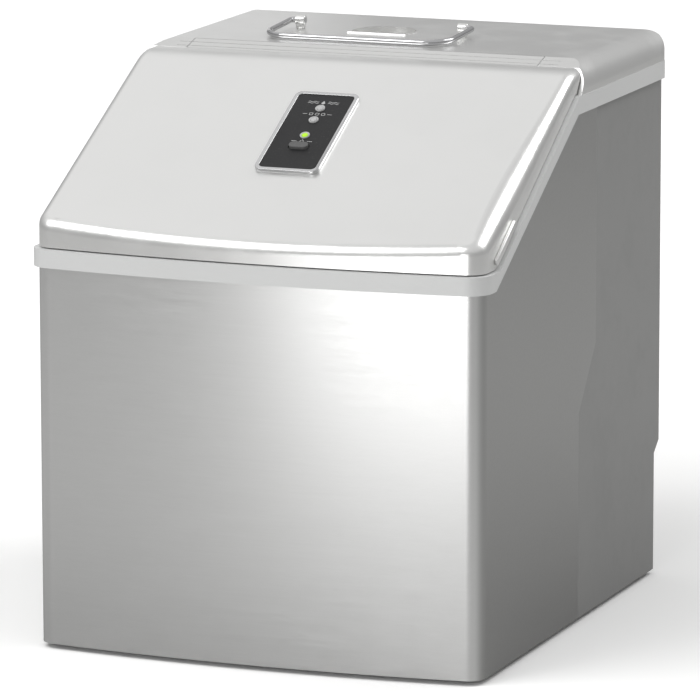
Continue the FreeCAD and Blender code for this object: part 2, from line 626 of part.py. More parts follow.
def lidBlock(name, inset, rise="0", edges=True):
    # The crown is rounded while it is still a deep block, then cut to the lid's own outline.
    # A negative rise takes the block below the lid, to hollow out what it is cut from.
    low = f"lid_gap + ({rise})"
    top = f"(lid_top_z - {inset})"
    meetY = (f"({front} + lid_slope_y + (lid_top_z - {inset} - lid_slope_z + {inset}/cos(lid_angle))"
             "/tan(lid_angle))")
    bend = f"(lid_top_radius - {inset})"
    reach = f"({bend}*tan(lid_angle/2))"
    noseZ = f"lid_slope_z - (lid_slope_y + 30)*tan(lid_angle) - {inset}/cos(lid_angle)"
    crown = sideSlab(f"{name}_crown", [
        (f"{front} - 30", "trim_low - 60"), (f"{front} + 240", "trim_low - 60"), (f"{front} + 240", top),
        (f"{meetY} + {reach}", top, bend, "left"),
        (f"{meetY} - {reach}*cos(lid_angle)", f"{top} - {reach}*sin(lid_angle)"), (f"{front} - 30", noseZ),
    ], "width")
    plan = planSlab(f"{name}_plan", f"({lidHalf} - {inset})", f"({front} + lid_front_gap + {inset})",
                    f"({front} + 240)", f"max(lid_corner - {inset}; 2)", "trim_low - 60", "height")
    raw = shared(f"{name}_raw", crown, plan)
    if edges:
        raw = roundEdges(f"{name}_rounded", raw, lambda edge: isLidRim(edge, number(inset)),
                         lambda edge: lidRadii(edge, number(inset)))
    above = band(f"{name}_above", [(y, f"{z} + {low}") for y, z in topLine],
                 [(f"{front} - 30", "height"), (f"{back} + 30", "height")])
    ahead = sideSlab(f"{name}_ahead", [
        (f"{front} - 30", "trim_low - 60"), (f"{front} + lid_rear_low - {inset}", "trim_low - 60"),
        (f"{front} + lid_rear_low - {inset}", f"{sideTop} + lid_gap"),
        (f"{front} + lid_rear_brow - {inset}", f"lid_top_z - 4 - {inset}"),
        (f"{front} + lid_rear - {inset}", top),
        (f"{front} + lid_rear - {inset}", "height"), (f"{front} - 30", "height"),
    ], "width")
    return shared(name, raw, above, ahead)


def lidHeight(y, inset):
    angle = math.radians(number("lid_angle"))
    along = y - number(f"{front} + lid_slope_y")
    slope = number("lid_slope_z") + along * math.tan(angle) - inset / math.cos(angle)
    return min(slope, number("lid_top_z") - inset)


def isLidRim(edge, inset):
    # The outer rim of the sloped top: both side edges and the bowed front edge
    middle = edge.valueAt((edge.FirstParameter + edge.LastParameter) / 2)
    low, high = edge.Vertexes[0].Point, edge.Vertexes[-1].Point
    across = abs(low.x - high.x) > 100 and middle.y > number(f"{front} + 20")
    onTop = abs(middle.z - lidHeight(middle.y, inset)) < 1.5
    return onTop and not across


def lidRadii(edge, inset):
    wall = number(lidHalf) - inset - 0.5
    radii = []
    for parameter in (edge.FirstParameter, edge.LastParameter):
        beside = abs(edge.valueAt(parameter).x) > wall
        radii.append(number("lid_edge_side" if beside else "lid_edge_front") - inset)
    return tuple(radii)


def onSlope(name, xs, downs, rises):
    piece = document.addObject("Part::Box", name)
    drive(piece, Length=f"({xs[1]}) - ({xs[0]})", Width=f"({downs[1]}) - ({downs[0]})",
          Height=f"({rises[1]}) - ({rises[0]})")
    return lean(piece, xs[0], f"-({downs[1]})", rises[0])


def lean(piece, x, along, rise):
    # Along is up the lid's slope and rise is square to it, both from the upper reference line.
    place(piece, x, f"{front} + lid_slope_y + ({along})*cos(lid_angle) - ({rise})*sin(lid_angle)",
          f"lid_slope_z + ({along})*sin(lid_angle) + ({rise})*cos(lid_angle)")
    return turn(piece, (1, 0, 0), "lid_angle")


def slopeRod(name, x, down, rise, radius, length):
    piece = document.addObject("Part::Cylinder", name)
    drive(piece, Radius=radius, Height=length)
    return lean(piece, x, f"-({down})", rise)


def slopeOval(name, down, rises, long, wide):
    flat = onSlope(f"{name}_flat", (f"panel_x - ({long})/2 + ({wide})/2", f"panel_x + ({long})/2 - ({wide})/2"),
                   (f"{down} - ({wide})/2", f"{down} + ({wide})/2"), rises)
    ends = [slopeRod(f"{name}_end{side}", f"panel_x + {sign}*(({long})/2 - ({wide})/2)", down, rises[0],
                     f"({wide})/2",
                     f"({rises[1]}) - ({rises[0]})") for side, sign in enumerate((-1, 1))]
    return join(name, flat, *ends)


def isSquareToSlope(edge):
    low, high = edge.Vertexes[0].Point, edge.Vertexes[-1].Point
    angle = math.radians(number("lid_angle"))
    way = (high - low).normalize()
    return abs(abs(way.dot(Vector(0, -math.sin(angle), math.cos(angle)))) - 1) < 0.001


def panelSlab(name, margin, rises, corner):
    flat = onSlope(f"{name}_flat", (f"panel_x - panel_wide/2 + {margin}", f"panel_x + panel_wide/2 - {margin}"),
                   (f"panel_start + {margin}", f"panel_start + panel_long - {margin}"), rises)
    return roundEdges(name, flat, isSquareToSlope, corner)


def makeLid():
    outer = lidBlock("lid_outer", "0")
    inner = lidBlock("lid_inner", "lid_wall", "-25")
    knuckleLimit = sideSlab("knuckle_limit", [
        (f"{front} + 200", "height - 60"), (f"{front} + 260", "height - 60"), (f"{front} + 260", "height"),
        (f"{front} + strip_back", "height"), (f"{front} + strip_low_y", "strip_low_z"),
        (f"{front} + strip_low_y", "lid_top_z - 4"), (f"{front} + 200", "lid_top_z - 4"),
    ], "width")
    knuckle = shared("knuckle", rod("knuckle_round", "X", (hingeLeft, hingeY, hingeZ), "knuckle_radius",
                                    "2*knuckle_half"), knuckleLimit)
    bores = [rod(f"pin_bore{index}", "X", (start, hingeY, hingeZ), "pin_radius + pin_fit", "pin_reach + 2")
             for index, start in enumerate((f"{hingeLeft} - 1", f"{hingeRight} - pin_reach - 1"))]
    window = slopeOval("button_window", "button_at", ("-8", "1"), "button_long + 2", "button_wide + 2")
    lamps = [slopeRod(f"lamp_window{index}", "panel_x", down, "-8", "lamp_radius + 0.5", "10")
             for index, down in enumerate(("lamp_one", "lamp_two", "lamp_three"))]
    web = block("hinge_web", (hingeLeft, hingeRight),
                (f"{front} + lid_rear - lid_wall", f"{front} + strip_low_y + web_lap"),
                ("lid_top_z - 4", "lid_top_z - web_drop"))
    shell = join("lid_joined", cut("lid_hollow", outer, inner), web, knuckle)
    node(cut("lid_cut", shell, *bores, window, *lamps, *hingeGrooves("lid_groove")), "lid_shell")

    foamInset = "(lid_wall + lid_foam_wall)"
    linerInset = f"({foamInset} + liner_wall)"
    boardPocket = onSlope("board_pocket", ("panel_x - panel_wide/2 - 2", "panel_x + panel_wide/2 + 2"),
                          ("panel_start - 4", "panel_start + panel_long + 4"), ("-lid_wall - 9", "5"))
    foam = cut("lid_foam_body", lidBlock("foam_outer", "lid_wall", "6"),
               lidBlock("foam_inner", foamInset, "-25", False), boardPocket)
    node(foam, "lid_insulation")
    liner = cut("lid_liner_body", lidBlock("liner_outer", foamInset, "6", False),
                lidBlock("liner_inner", linerInset, "-25", False))
    node(liner, "lid_liner")
    sealOuter = lidBlock("seal_outer", "lid_wall")
    sealBand = band("seal_band", [(y, f"{z} + lid_gap + 0.2") for y, z in topLine],
                    [(y, f"{z} + lid_gap + 0.2 + seal_tall") for y, z in topLine])
    seal = cut("seal_ring", shared("seal_plate", sealOuter, sealBand),
               lidBlock("seal_inner", f"({linerInset} - 1)", "-25", False))
    node(seal, "lid_seal")
    makePulls()
    makePanel()


def makePulls():
    pulls = []
    railAngle = "atan((side_low - trim_low)/(knee_top - rail_foot_top))"
    for index, side in enumerate((-1, 1)):
        tab = document.addObject("Part::Box", f"pull_tab{index}")
        drive(tab, Length="pull_proud", Width="pull_long", Height="pull_tall")
        start = lidHalf if side == 1 else f"-{lidHalf} - pull_proud"
        place(tab, start, f"{front} + pull_start - pull_lift*sin({railAngle})",
              f"{trimTop} + lid_gap + (pull_start - rail_foot_top)*tan({railAngle}) + pull_lift*cos({railAngle})")
        turn(tab, (1, 0, 0), railAngle)
        pulls.append(tab)
    node(group("pulls", pulls), "lid_pulls")


def makePanel():
    bezelOuter = panelSlab("bezel_outer", "0", ("0", "panel_rise"), "panel_corner")
    bezelInner = panelSlab("bezel_inner", "panel_rim", ("-1", "panel_rise + 1"), "panel_corner - panel_rim + 1")
    node(cut("bezel", bezelOuter, bezelInner), "panel_bezel")
    fascia = panelSlab("fascia_flat", "panel_rim", ("0", "panel_rise - panel_sink"),
                       "panel_corner - panel_rim + 1")
    window = slopeOval("fascia_window", "button_at", ("-1", "panel_rise + 1"), "button_long + 2*button_gap",
                       "button_wide + 2*button_gap")
    holes = [slopeRod(f"lamp_hole{index}", "panel_x", down, "-1", "lamp_radius", "panel_rise + 2")
             for index, down in enumerate(("lamp_one", "lamp_two", "lamp_three"))]
    node(cut("fascia", fascia, window, *holes), "panel_fascia")
    rings, lenses = [], []
    for index, down in enumerate(("lamp_one", "lamp_two", "lamp_three")):
        top = "panel_rise - panel_sink + lamp_rise"
        body = slopeRod(f"lamp_body{index}", "panel_x", down, "-3", "lamp_radius", f"{top} + 3")
        core = slopeRod(f"lamp_core{index}", "panel_x", down, "-4", "lamp_radius - lamp_wall", f"{top} + 6")
        rings.append(cut(f"lamp_ring{index}", body, core))
        lenses.append(slopeRod(f"lamp_lens{index}", "panel_x", down, "-3", "lamp_radius - lamp_wall",
                               f"{top} + 2.8"))
    node(group("lamp_rings", rings), "lamp_bezels")
    node(group("lamp_lenses", lenses), "lamp_lenses")
    cap = slopeOval("button_cap", "button_at", ("-3", "panel_rise - panel_sink + button_rise"), "button_long",
                    "button_wide")
    node(cap, "power_button")
    board = onSlope("panel_board_flat", ("panel_x - panel_wide/2", "panel_x + panel_wide/2"),
                    ("panel_start", "panel_start + panel_long"), ("-lid_wall - 8", "-lid_wall - 6.4"))
    node(board, "panel_board")
    node(onSlope("switch_body", ("panel_x - 3", "panel_x + 3"), ("button_at - 3", "button_at + 3"),
                 ("-lid_wall - 6.4", "-5")),
         "button_switch")


# Ice compartment

tubFront = f"({front} + tub_setback)"
tubBack = f"({front} + tub_back)"
tubInside = f"({front} + tub_back - tub_wall)"
wallBack = f"({tubBack} + foam_back)"
trayY = f"({front} + tray_axis_y)"


def pipeHoles(name):
    # Where the two refrigerant pipes go through the back of the compartment
    return [rod(f"{name}_pipe{index}", "Y", (x, f"{tubBack} - 10", "coil_z"), "coil_radius + 0.6", "45")
            for index, x in enumerate(("coil_half + 14", "coil_half + 26"))]


def makeTub():
    rise = "shell_lap + rim_wall"
    outer = underRail("tub_outer", tubFront, tubBack, "tub_floor", rise, "2*(tub_half + tub_wall)")
    inner = underRail("tub_inner", f"({tubFront} + tub_wall)", tubInside,
                      "(tub_floor + tub_wall)", f"{rise} + 30",
                      "2*tub_half")
    rim = shared("tub_rim", planSlab("rim_plan", f"({half} - fit_gap)", f"({front} + fit_gap)", tubBack,
                                     "corner_radius - fit_gap", "trim_low - 5", "height"),
                 band("rim_band", railLine("shell_lap"), railLine(rise)))
    ledges = [block(f"basket_ledge{index}", (low, high), (f"{tubFront} + 1", f"{front} + basket_back"),
                    ("basket_low - 6", "basket_low - 0.2"))
              for index, (low, high) in enumerate((("-tub_half - 1", "-basket_half + 4"),
                                                   ("basket_half - 4", "tub_half + 1")))]
    drain = rod("tub_drain", "X", ("-tub_half - tub_wall - 2", drainY, drainZ), "drain_radius", "tub_wall + 4")
    hollow = cut("tub_hollow", join("tub_whole", outer, rim), inner)
    node(cut("tub", join("tub_ledged", hollow, *ledges), drain, *pipeHoles("tub")), "inner_tub")

    slab = underRail("foam_slab", f"({front} - 20)", wallBack,
                     "(tub_floor - foam_side)", "shell_lap - 0.2", "width")
    plan = planSlab("foam_plan", f"({half} - shell_wall - fit_gap)", f"({front} + shell_wall + fit_gap)", wallBack,
                    "corner_radius - shell_wall - fit_gap", "20", "height")
    core = underRail("foam_core", tubFront, tubBack, "tub_floor", "60", "2*(tub_half + tub_wall)")
    spout = rod("foam_drain", "X", (f"-{half} - 2", drainY, drainZ), "drain_radius + 0.2",
                f"{half} - tub_half + 2")
    node(cut("foam", shared("foam_shape", slab, plan), core, spout, *pipeHoles("foam")), "cabinet_insulation")
    sheetHalf = f"({half} - shell_wall - 2*fit_gap - pan_wall)"
    plate = block("bulkhead_plate", (f"-{sheetHalf}", sheetHalf), (wallBack, f"{wallBack} + bulkhead_wall"),
                  (floor, "side_low + shell_lap - 1"))
    node(cut("bulkhead_cut", plate, *pipeHoles("bulkhead")), "bulkhead")
    node(ring("spout", "X", (f"-{half} + fit_gap", drainY, drainZ), "drain_radius", "drain_radius - drain_wall",
              f"{half} - fit_gap - tub_half"), "drain_spout")
    disc = rod("cap_disc", "X", (f"-{half} - cap_wall - 0.2", drainY, drainZ), "drain_radius + 4", "cap_wall")
    stem = rod("cap_stem", "X", (f"-{half} - 0.5", drainY, drainZ), "drain_radius - drain_wall - 0.3", "14")
    grip = block("cap_grip", (f"-{half} - cap_wall - 1", f"-{half} - cap_wall + 0.5"),
                 (f"{drainY} - 9", f"{drainY} + 9"), (f"{drainZ} - 1.5", f"{drainZ} + 1.5"))
    node(join("cap", disc, stem, grip), "drain_cap")
    sensors = [rod(f"sensor{index}", "X", (x, f"{front} + basket_back", "basket_high + 22"), "5", "6")
               for index, x in enumerate(("-tub_half", "tub_half - 6"))]
    node(group("sensors", sensors), "ice_sensors")


def makeIceMaking():
    frontLeg, backLeg = number(f"{front} + coil_front"), number(f"{front} + coil_back")
    level, reach, behind = number("coil_z"), number("coil_half"), number(f"{wallBack} + 14")
    coil = document.addObject("Part::Feature", "coil")
    coil.Shape = tube([
        (reach + 26, behind, level), (reach + 26, frontLeg, level), (-reach - 10, frontLeg, level),
        (-reach - 10, backLeg, level), (reach + 14, backLeg, level), (reach + 14, behind, level),
    ], 12, number("coil_radius"))
    node(coil, "evaporator_tube")
    fingers = []
    for leg, count, start in (("coil_front", 5, "-2*finger_pitch"), ("coil_back", 4, "-1.5*finger_pitch")):
        for index in range(count):
            name = f"finger_{leg}_{index}"
            spot = (f"{start} + {index}*finger_pitch", f"{front} + {leg}", "coil_z - coil_radius - finger_tall")
            fingers.append(roundEdges(name, rod(f"{name}_rod", "Z", spot, "finger_radius", "finger_tall"),
                                      lambda edge: edge.CenterOfMass.z < number("coil_z - 30"), "finger_radius - 1.5"))
    node(group("fingers", fingers), "ice_fingers")

    hood = block("hood_outer", ("-coil_half - 18", "coil_half + 6"), (f"{front} + coil_front - 10",
                 f"{front} + coil_back + 10"), ("coil_z - 9", "coil_z + 22"))
    hollow = block("hood_inner", ("-coil_half - 16", "coil_half + 20"), (f"{front} + coil_front - 8",
                   f"{front} + coil_back + 8"), ("coil_z - 12", "coil_z + 20"))
    node(cut("hood", hood, hollow), "evaporator_cover")

    low = "(tray_axis_z - tray_drop)"
    box = block("tray_outer", ("-tray_half", "tray_half"), (f"{trayY} - tray_reach", f"{trayY} - 5"),
                (low, "tray_axis_z + tray_lip"))
    inside = block("tray_inner", ("-tray_half + tray_wall", "tray_half - tray_wall"),
                   (f"{trayY} - tray_reach + tray_wall", f"{trayY} - 5 - tray_wall"),
                   (f"{low} + tray_wall", "tray_axis_z + tray_lip + 5"))
    ears, journals = [], []
    for index, side in enumerate((-1, 1)):
        spans = ("-tray_half", "-tray_half + tray_wall") if side == -1 else ("tray_half - tray_wall", "tray_half")
        ears.append(block(f"tray_ear{index}", spans, (f"{trayY} - 12", f"{trayY} + 6"),
                          ("tray_axis_z - 8", "tray_axis_z + tray_lip")))
        start = "-tray_half - 12" if side == -1 else "tray_half - tray_wall"
        journals.append(rod(f"tray_journal{index}", "X", (start, trayY, "tray_axis_z"), "tray_shaft",
                            "12 + tray_wall"))
    node(cut("tray", join("tray_solid", box, *ears, *journals), inside), "water_tray")

    brackets = []
    for index, span in enumerate((("-tray_half - 6", "-tray_half - 2"), ("tray_half + 2", "tray_half + 6"))):
        plate = block(f"tray_bracket_plate{index}", span, (f"{trayY} - 10", tubInside),
                      ("tray_axis_z - 10", "tray_axis_z + 10"))
        bore = rod(f"tray_bracket_bore{index}", "X", (f"{span[0]} - 5", trayY, "tray_axis_z"),
                   "tray_shaft + 0.06", "20")
        brackets.append(cut(f"tray_bracket{index}", plate, bore))
    node(group("tray_brackets_pair", brackets), "tray_brackets")
    motor = block("tray_motor_body", ("tray_half + 14", "tub_half - 2"), (f"{trayY} - 18", f"{trayY} + 18"),
                  ("tray_axis_z - 20", "tray_axis_z + 16"))
    arm = block("tray_motor_arm", ("tray_half + 16", "tray_half + 20"), (f"{trayY} + 10", tubInside),
                ("tray_axis_z - 12", "tray_axis_z + 10"))
    node(join("tray_motor_whole", roundEdges("tray_motor_round", motor, isLongX, "4"), arm), "tray_motor")

    chute = document.addObject("Part::Box", "chute")
    drive(chute, Length="2*tray_half - 4", Width="chute_long", Height="2.5")
    place(chute, "-tray_half + 2", f"{front} + chute_start", "chute_low")
    turn(chute, (1, 0, 0), "chute_angle")
    node(chute, "ice_chute")
    makeBasket()
    makeWaterParts()


def isLongX(edge):
    low, high = edge.Vertexes[0].Point, edge.Vertexes[-1].Point
    return abs(high.x - low.x) > 5 and abs(high.y - low.y) + abs(high.z - low.z) < 0.01


def makeBasket():
    frontFace, backFace = f"({tubFront} + tub_wall + 3)", f"({front} + basket_back)"
    outer = block("basket_outer", ("-basket_half", "basket_half"), (frontFace, backFace),
                  ("basket_low", "basket_high"))
    rounded = roundEdges("basket_rounded", outer, isUpright, "basket_corner")
    inner = block("basket_inner", ("-basket_half + basket_wall", "basket_half - basket_wall"),
                  (f"{frontFace} + basket_wall", f"{backFace} - basket_wall"),
                  ("basket_low + basket_wall", "basket_high + 5"))
    hollow = roundEdges("basket_hollow", inner, isUpright, "max(basket_corner - basket_wall; 0.5)")
    well = roundEdges("basket_well", block(
        "basket_well_block", ("-basket_half + basket_wall + 1", "basket_half - basket_wall - 1"),
        (f"{frontFace} + basket_wall + 1", f"{backFace} - basket_wall - 1"),
        ("basket_low - 20", "basket_low + 20")), isUpright, "max(basket_corner - basket_wall - 1; 0.5)")
    grid = shared("basket_grid_flat", well, block(
        "basket_grid_block", ("-basket_half", "basket_half"), (frontFace, backFace),
        ("basket_low", "basket_low + basket_wall")))
    slots = []
    for index in range(9):
        x = f"({index} - 4)*slot_pitch"
        slots.append(block(f"basket_drain{index}", (f"{x} - slot_wide/2", f"{x} + slot_wide/2"),
                           (f"{frontFace} + 16", f"{backFace} - 16"), ("basket_low - 5", "basket_low + 5")))
    node(cut("basket_grid_slots", grid, *slots), "basket_grid")
    grip = block("basket_grip_hole", ("-32", "32"), (f"{frontFace} - 5", f"{frontFace} + 10"),
                 ("basket_high - 19", "basket_high - 6"))
    walls = cut("basket_walls", rounded, hollow, grip, well)
    # Four panels that meet at the corners: the end panels carry the rounded corners
    endReach = "(basket_half - basket_corner)"
    spans = {
        "left": (("-basket_half", f"-{endReach}"), (frontFace, backFace)),
        "right": ((endReach, "basket_half"), (frontFace, backFace)),
        "front": ((f"-{endReach}", endReach), (frontFace, f"{frontFace} + basket_corner")),
        "back": ((f"-{endReach}", endReach), (f"{backFace} - basket_corner", backFace)),
    }
    panels = [shared(f"basket_{side}", walls, block(f"{side}_span", xs, ys, ("basket_low", "basket_high")))
              for side, (xs, ys) in spans.items()]
    node(group("basket_panels", panels), "ice_basket")


def makeWaterParts():
    pumpY = f"({front} + pump_y)"
    base_block = block("pump_block", ("pump_x - 22", "pump_x + 22"), (f"{pumpY} - 20", f"{pumpY} + 20"),
                       ("tub_floor + tub_wall", "tub_floor + tub_wall + 26"))
    dome = rod("pump_dome", "Z", ("pump_x", pumpY, "tub_floor + tub_wall + 25"), "16", "16")
    outlet = rod("pump_outlet", "X", ("pump_x - 30", pumpY, "tub_floor + tub_wall + 14"), "hose_radius", "10")
    node(join("pump", base_block, dome, outlet), "water_pump")
    start = (number("pump_x - 30"), number(pumpY), number("tub_floor + tub_wall + 14"))
    side = -number("max(tray_half + 19; coil_half + 10 + coil_radius + hose_radius + hose_clear)")
    top = number("tray_axis_z + 20")
    hose = document.addObject("Part::Feature", "hose")
    hose.Shape = tube([start, (side, start[1], start[2]), (side, start[1], top), (side + 13, start[1], top)],
                      [18, 10], number("hose_radius"))
    node(hose, "water_hose")
    stem = rod("stem_rod", "Z", ("float_x", f"{front} + pump_y", "tub_floor + tub_wall"), "3", "52")
    foot = rod("stem_foot", "Z", ("float_x", f"{front} + pump_y", "tub_floor + tub_wall"), "9", "14")
    clip = rod("stem_clip", "Z", ("float_x", f"{front} + pump_y", "tub_floor + tub_wall + 48"), "5", "3")
    node(join("stem", stem, foot, clip), "float_stem")
    node(ring("float", "Z", ("float_x", f"{front} + pump_y", "tub_floor + tub_wall + 14.2"), "13", "3.4", "16"),
         "level_float")


# Machine compartment

canY = f"({front} + can_y)"
canLow = f"({floor} + can_lift + plate_wall)"
finBack = f"({back} - shell_wall - grille_wall - 12)"
finFront = f"({finBack} - fin_deep)"
ductBack = f"({finFront} - 1)"
ductFront = f"({ductBack} - duct_deep)"


def makeCompressor():
    can = rod("can", "Z", ("can_x", canY, canLow), "can_radius", "can_tall")
    shaped = roundEdges("can_domed", can, lambda edge: edge.Length > 100 and edge.CenterOfMass.z > 100, "24")
    lower = roundEdges("can_shaped", shaped, lambda edge: edge.Length > 100 and edge.CenterOfMass.z < 50, "10")
    node(lower, "compressor")
    plate = block("plate", ("can_x - can_radius - 12", "can_x + can_radius + 12"),
                  (f"{canY} - can_radius - 2", f"{canY} + can_radius + 2"), (f"{floor} + can_lift", canLow))
    node(roundEdges("plate_round", plate, lambda edge: abs(edge.Length - number("plate_wall")) < 0.01, "12"),
         "compressor_plate")
    mounts = []
    for index, (x, y) in enumerate(((-1, -1), (-1, 1), (1, -1), (1, 1))):
        spot = (f"can_x + {x}*(can_radius - 2)", f"{canY} + {y}*(can_radius - 12)", floor)
        mounts.append(rod(f"grommet{index}", "Z", spot, "9", "can_lift"))
    node(group("grommets", mounts), "rubber_grommets")
    lid = block("terminal_block", ("can_x + can_radius - 16", "can_x + can_radius + 18"),
                (f"{canY} - 22", f"{canY} + 22"), (f"{canLow} + 40", f"{canLow} + 88"))
    node(cut("terminal", lid, rod("terminal_curve", "Z", ("can_x", canY, f"{canLow} + 20"), "can_radius", "90")),
         "terminal_cover")


def makeCondenser():
    runs = [f"fan_z + ({index} - 1.5)*run_pitch" for index in range(4)]
    tubeY = f"(({finFront}) + ({finBack}))/2"
    fins = []
    count = int(number("2*fin_half/fin_pitch")) + 1
    for index in range(count):
        x = f"fan_x - fin_half + {index}*fin_pitch"
        fins.append(block(f"fin{index}", (x, f"{x} + fin_wall"), (finFront, finBack),
                          ("fan_z - fin_half + 4", "fan_z + fin_half - 4")))
    bores = [rod(f"fin_bore{index}", "X", ("fan_x - fin_half - 20", tubeY, z), "run_radius + 0.05",
                 "2*fin_half + 40")
             for index, z in enumerate(runs)]
    node(cut("fins", join("fin_pack", *fins), *bores), "condenser_fins")
    left, right = number("fan_x - fin_half - 16"), number("fan_x + fin_half + 16")
    middle = number(tubeY)
    points = [(number("fan_x - fin_half - 20"), middle, number(runs[0]))]
    for index, z in enumerate(runs):
        near, far = (left, right) if index % 2 == 0 else (right, left)
        if index:
            points.append((near, middle, number(z)))
        if index < 3:
            points.append((far, middle, number(z)))
    points.append((number("fan_x - fin_half - 20"), middle, number(runs[3])))
    serpent = document.addObject("Part::Feature", "serpentine")
    serpent.Shape = tube(points, number("run_pitch/2") - 0.5, number("run_radius"))
    node(serpent, "condenser_tube")


def makeFan():
    frame = block("duct_frame", ("fan_x - fin_half", "fan_x + fin_half"), (ductFront, ductBack),
                  ("fan_z - fin_half", "fan_z + fin_half"))
    duct = rod("duct_hole", "Y", ("fan_x", f"{ductFront} - 5", "fan_z"), "fan_radius + duct_gap", "duct_deep + 10")
    arms = [block("duct_arm_across", ("fan_x - fin_half", "fan_x + fin_half"), (f"{ductFront} - 4", ductFront),
                  ("fan_z - 6", "fan_z + 6")),
            block("duct_arm_up", ("fan_x - 6", "fan_x + 6"), (f"{ductFront} - 4", ductFront),
                  ("fan_z - fin_half", "fan_z + fin_half"))]
    shaftHole = rod("duct_shaft_hole", "Y", ("fan_x", f"{ductFront} - 10", "fan_z"), "6", "20")
    node(cut("duct", join("duct_armed", cut("duct_open", frame, duct), *arms), shaftHole), "fan_shroud")
    motor = rod("motor_can", "Y", ("fan_x", f"{ductFront} - 4 - motor_long", "fan_z"), "motor_radius",
                "motor_long")
    bore = rod("motor_bore", "Y", ("fan_x", f"{ductFront} - 4 - motor_long + 6", "fan_z"), "shaft_radius + pin_fit",
               "motor_long")
    node(cut("motor", roundEdges("motor_round", motor, lambda edge: edge.CenterOfMass.y < number(
        f"{ductFront} - 4 - motor_long + 1"), "4"), bore), "fan_motor")
    hub = rod("fan_hub", "Y", ("fan_x", f"{ductFront} + 2", "fan_z"), "hub_radius", "duct_deep - 4")
    shaft = rod("fan_shaft", "Y", ("fan_x", f"{ductFront} - 4 - motor_long + 8", "fan_z"), "shaft_radius",
                "motor_long + 8")
    blades = []
    for index in range(5):
        blade = document.addObject("Part::Feature", f"blade{index}")
        wide, thick = number("duct_deep - 6"), 1.6
        flat = Part.makeBox(number("fan_radius - hub_radius + 3"), wide * 1.3, thick,
                            Vector(number("hub_radius - 3"), -wide * 0.65, -thick / 2))
        flat.rotate(Vector(0, 0, 0), Vector(1, 0, 0), 35)
        flat.rotate(Vector(0, 0, 0), Vector(0, 1, 0), index * 72)
        flat.translate(Vector(number("fan_x"), number(f"({ductFront} + {ductBack})/2"), number("fan_z")))
        blade.Shape = flat
        blades.append(blade)
    limit = rod("fan_limit", "Y", ("fan_x", f"{ductFront} + 2", "fan_z"), "fan_radius", "duct_deep - 4")
    node(join("fan_whole", hub, shaft, shared("fan_blades", join("fan_blade_set", *blades), limit)), "fan")


def makeCooling():
    can = (number("can_x"), number(canY), number(f"{canLow} + can_tall"))
    behind, level = number(f"{wallBack} + 14"), number("coil_z")
    pipe = number("coil_radius")
    suctionX = number("coil_half + 14")
    suction = document.addObject("Part::Feature", "suction")
    suction.Shape = tube([(suctionX, behind, level), (suctionX, behind + 22, level), (can[0] - 26, behind + 22, level),
                          (can[0] - 26, can[1], level), (can[0] - 26, can[1], can[2])], 14, pipe)
    node(suction, "suction_pipe")
    valve = (number("can_x + 32"), behind + 16)
    body = rod("valve_body", "Z", (str(valve[0]), str(valve[1]), "valve_z"), "8", "34")
    magnet = block("valve_coil", (f"{valve[0]} - 15", f"{valve[0]} + 15"),
                   (f"{valve[1]} - 13", f"{valve[1]} + 13"),
                   ("valve_z + 8", "valve_z + 30"))
    node(join("valve", body, magnet), "hot_gas_valve")
    hot = document.addObject("Part::Feature", "hot_line")
    hotX = number("coil_half + 26")
    low = number("valve_z + 34")
    hot.Shape = tube([(hotX, behind, level), (hotX, behind + 16, level), (hotX, behind + 16, low + 20),
                      (valve[0], behind + 16, low + 20), (valve[0], behind + 16, low)], 8, 3)
    node(hot, "hot_gas_pipe")
    discharge = document.addObject("Part::Feature", "discharge")
    tubeY = number(f"(({finFront}) + ({finBack}))/2")
    start = number("fan_z - 1.5*run_pitch")
    left = number("fan_x - fin_half - 20")
    discharge.Shape = tube([(can[0] + 12, can[1] + 20, can[2]), (can[0] + 12, can[1] + 20, start),
                            (can[0] + 12, tubeY, start), (left, tubeY, start)], 10, number("run_radius"))
    node(discharge, "discharge_pipe")
    drier = [rod("drier_body", "Z", ("drier_x", f"{canY} + 10", "drier_z"), "10", "60"),
             coneZ("drier_top", ("drier_x", f"{canY} + 10", "drier_z + 60"), "10", "3", "12"),
             coneZ("drier_foot", ("drier_x", f"{canY} + 10", "drier_z - 12"), "3", "10", "12")]
    node(join("drier", *drier), "filter_drier")


def coneZ(name, start, low, high, tall):
    piece = document.addObject("Part::Cone", name)
    drive(piece, Radius1=low, Radius2=high, Height=tall)
    return place(piece, *start)


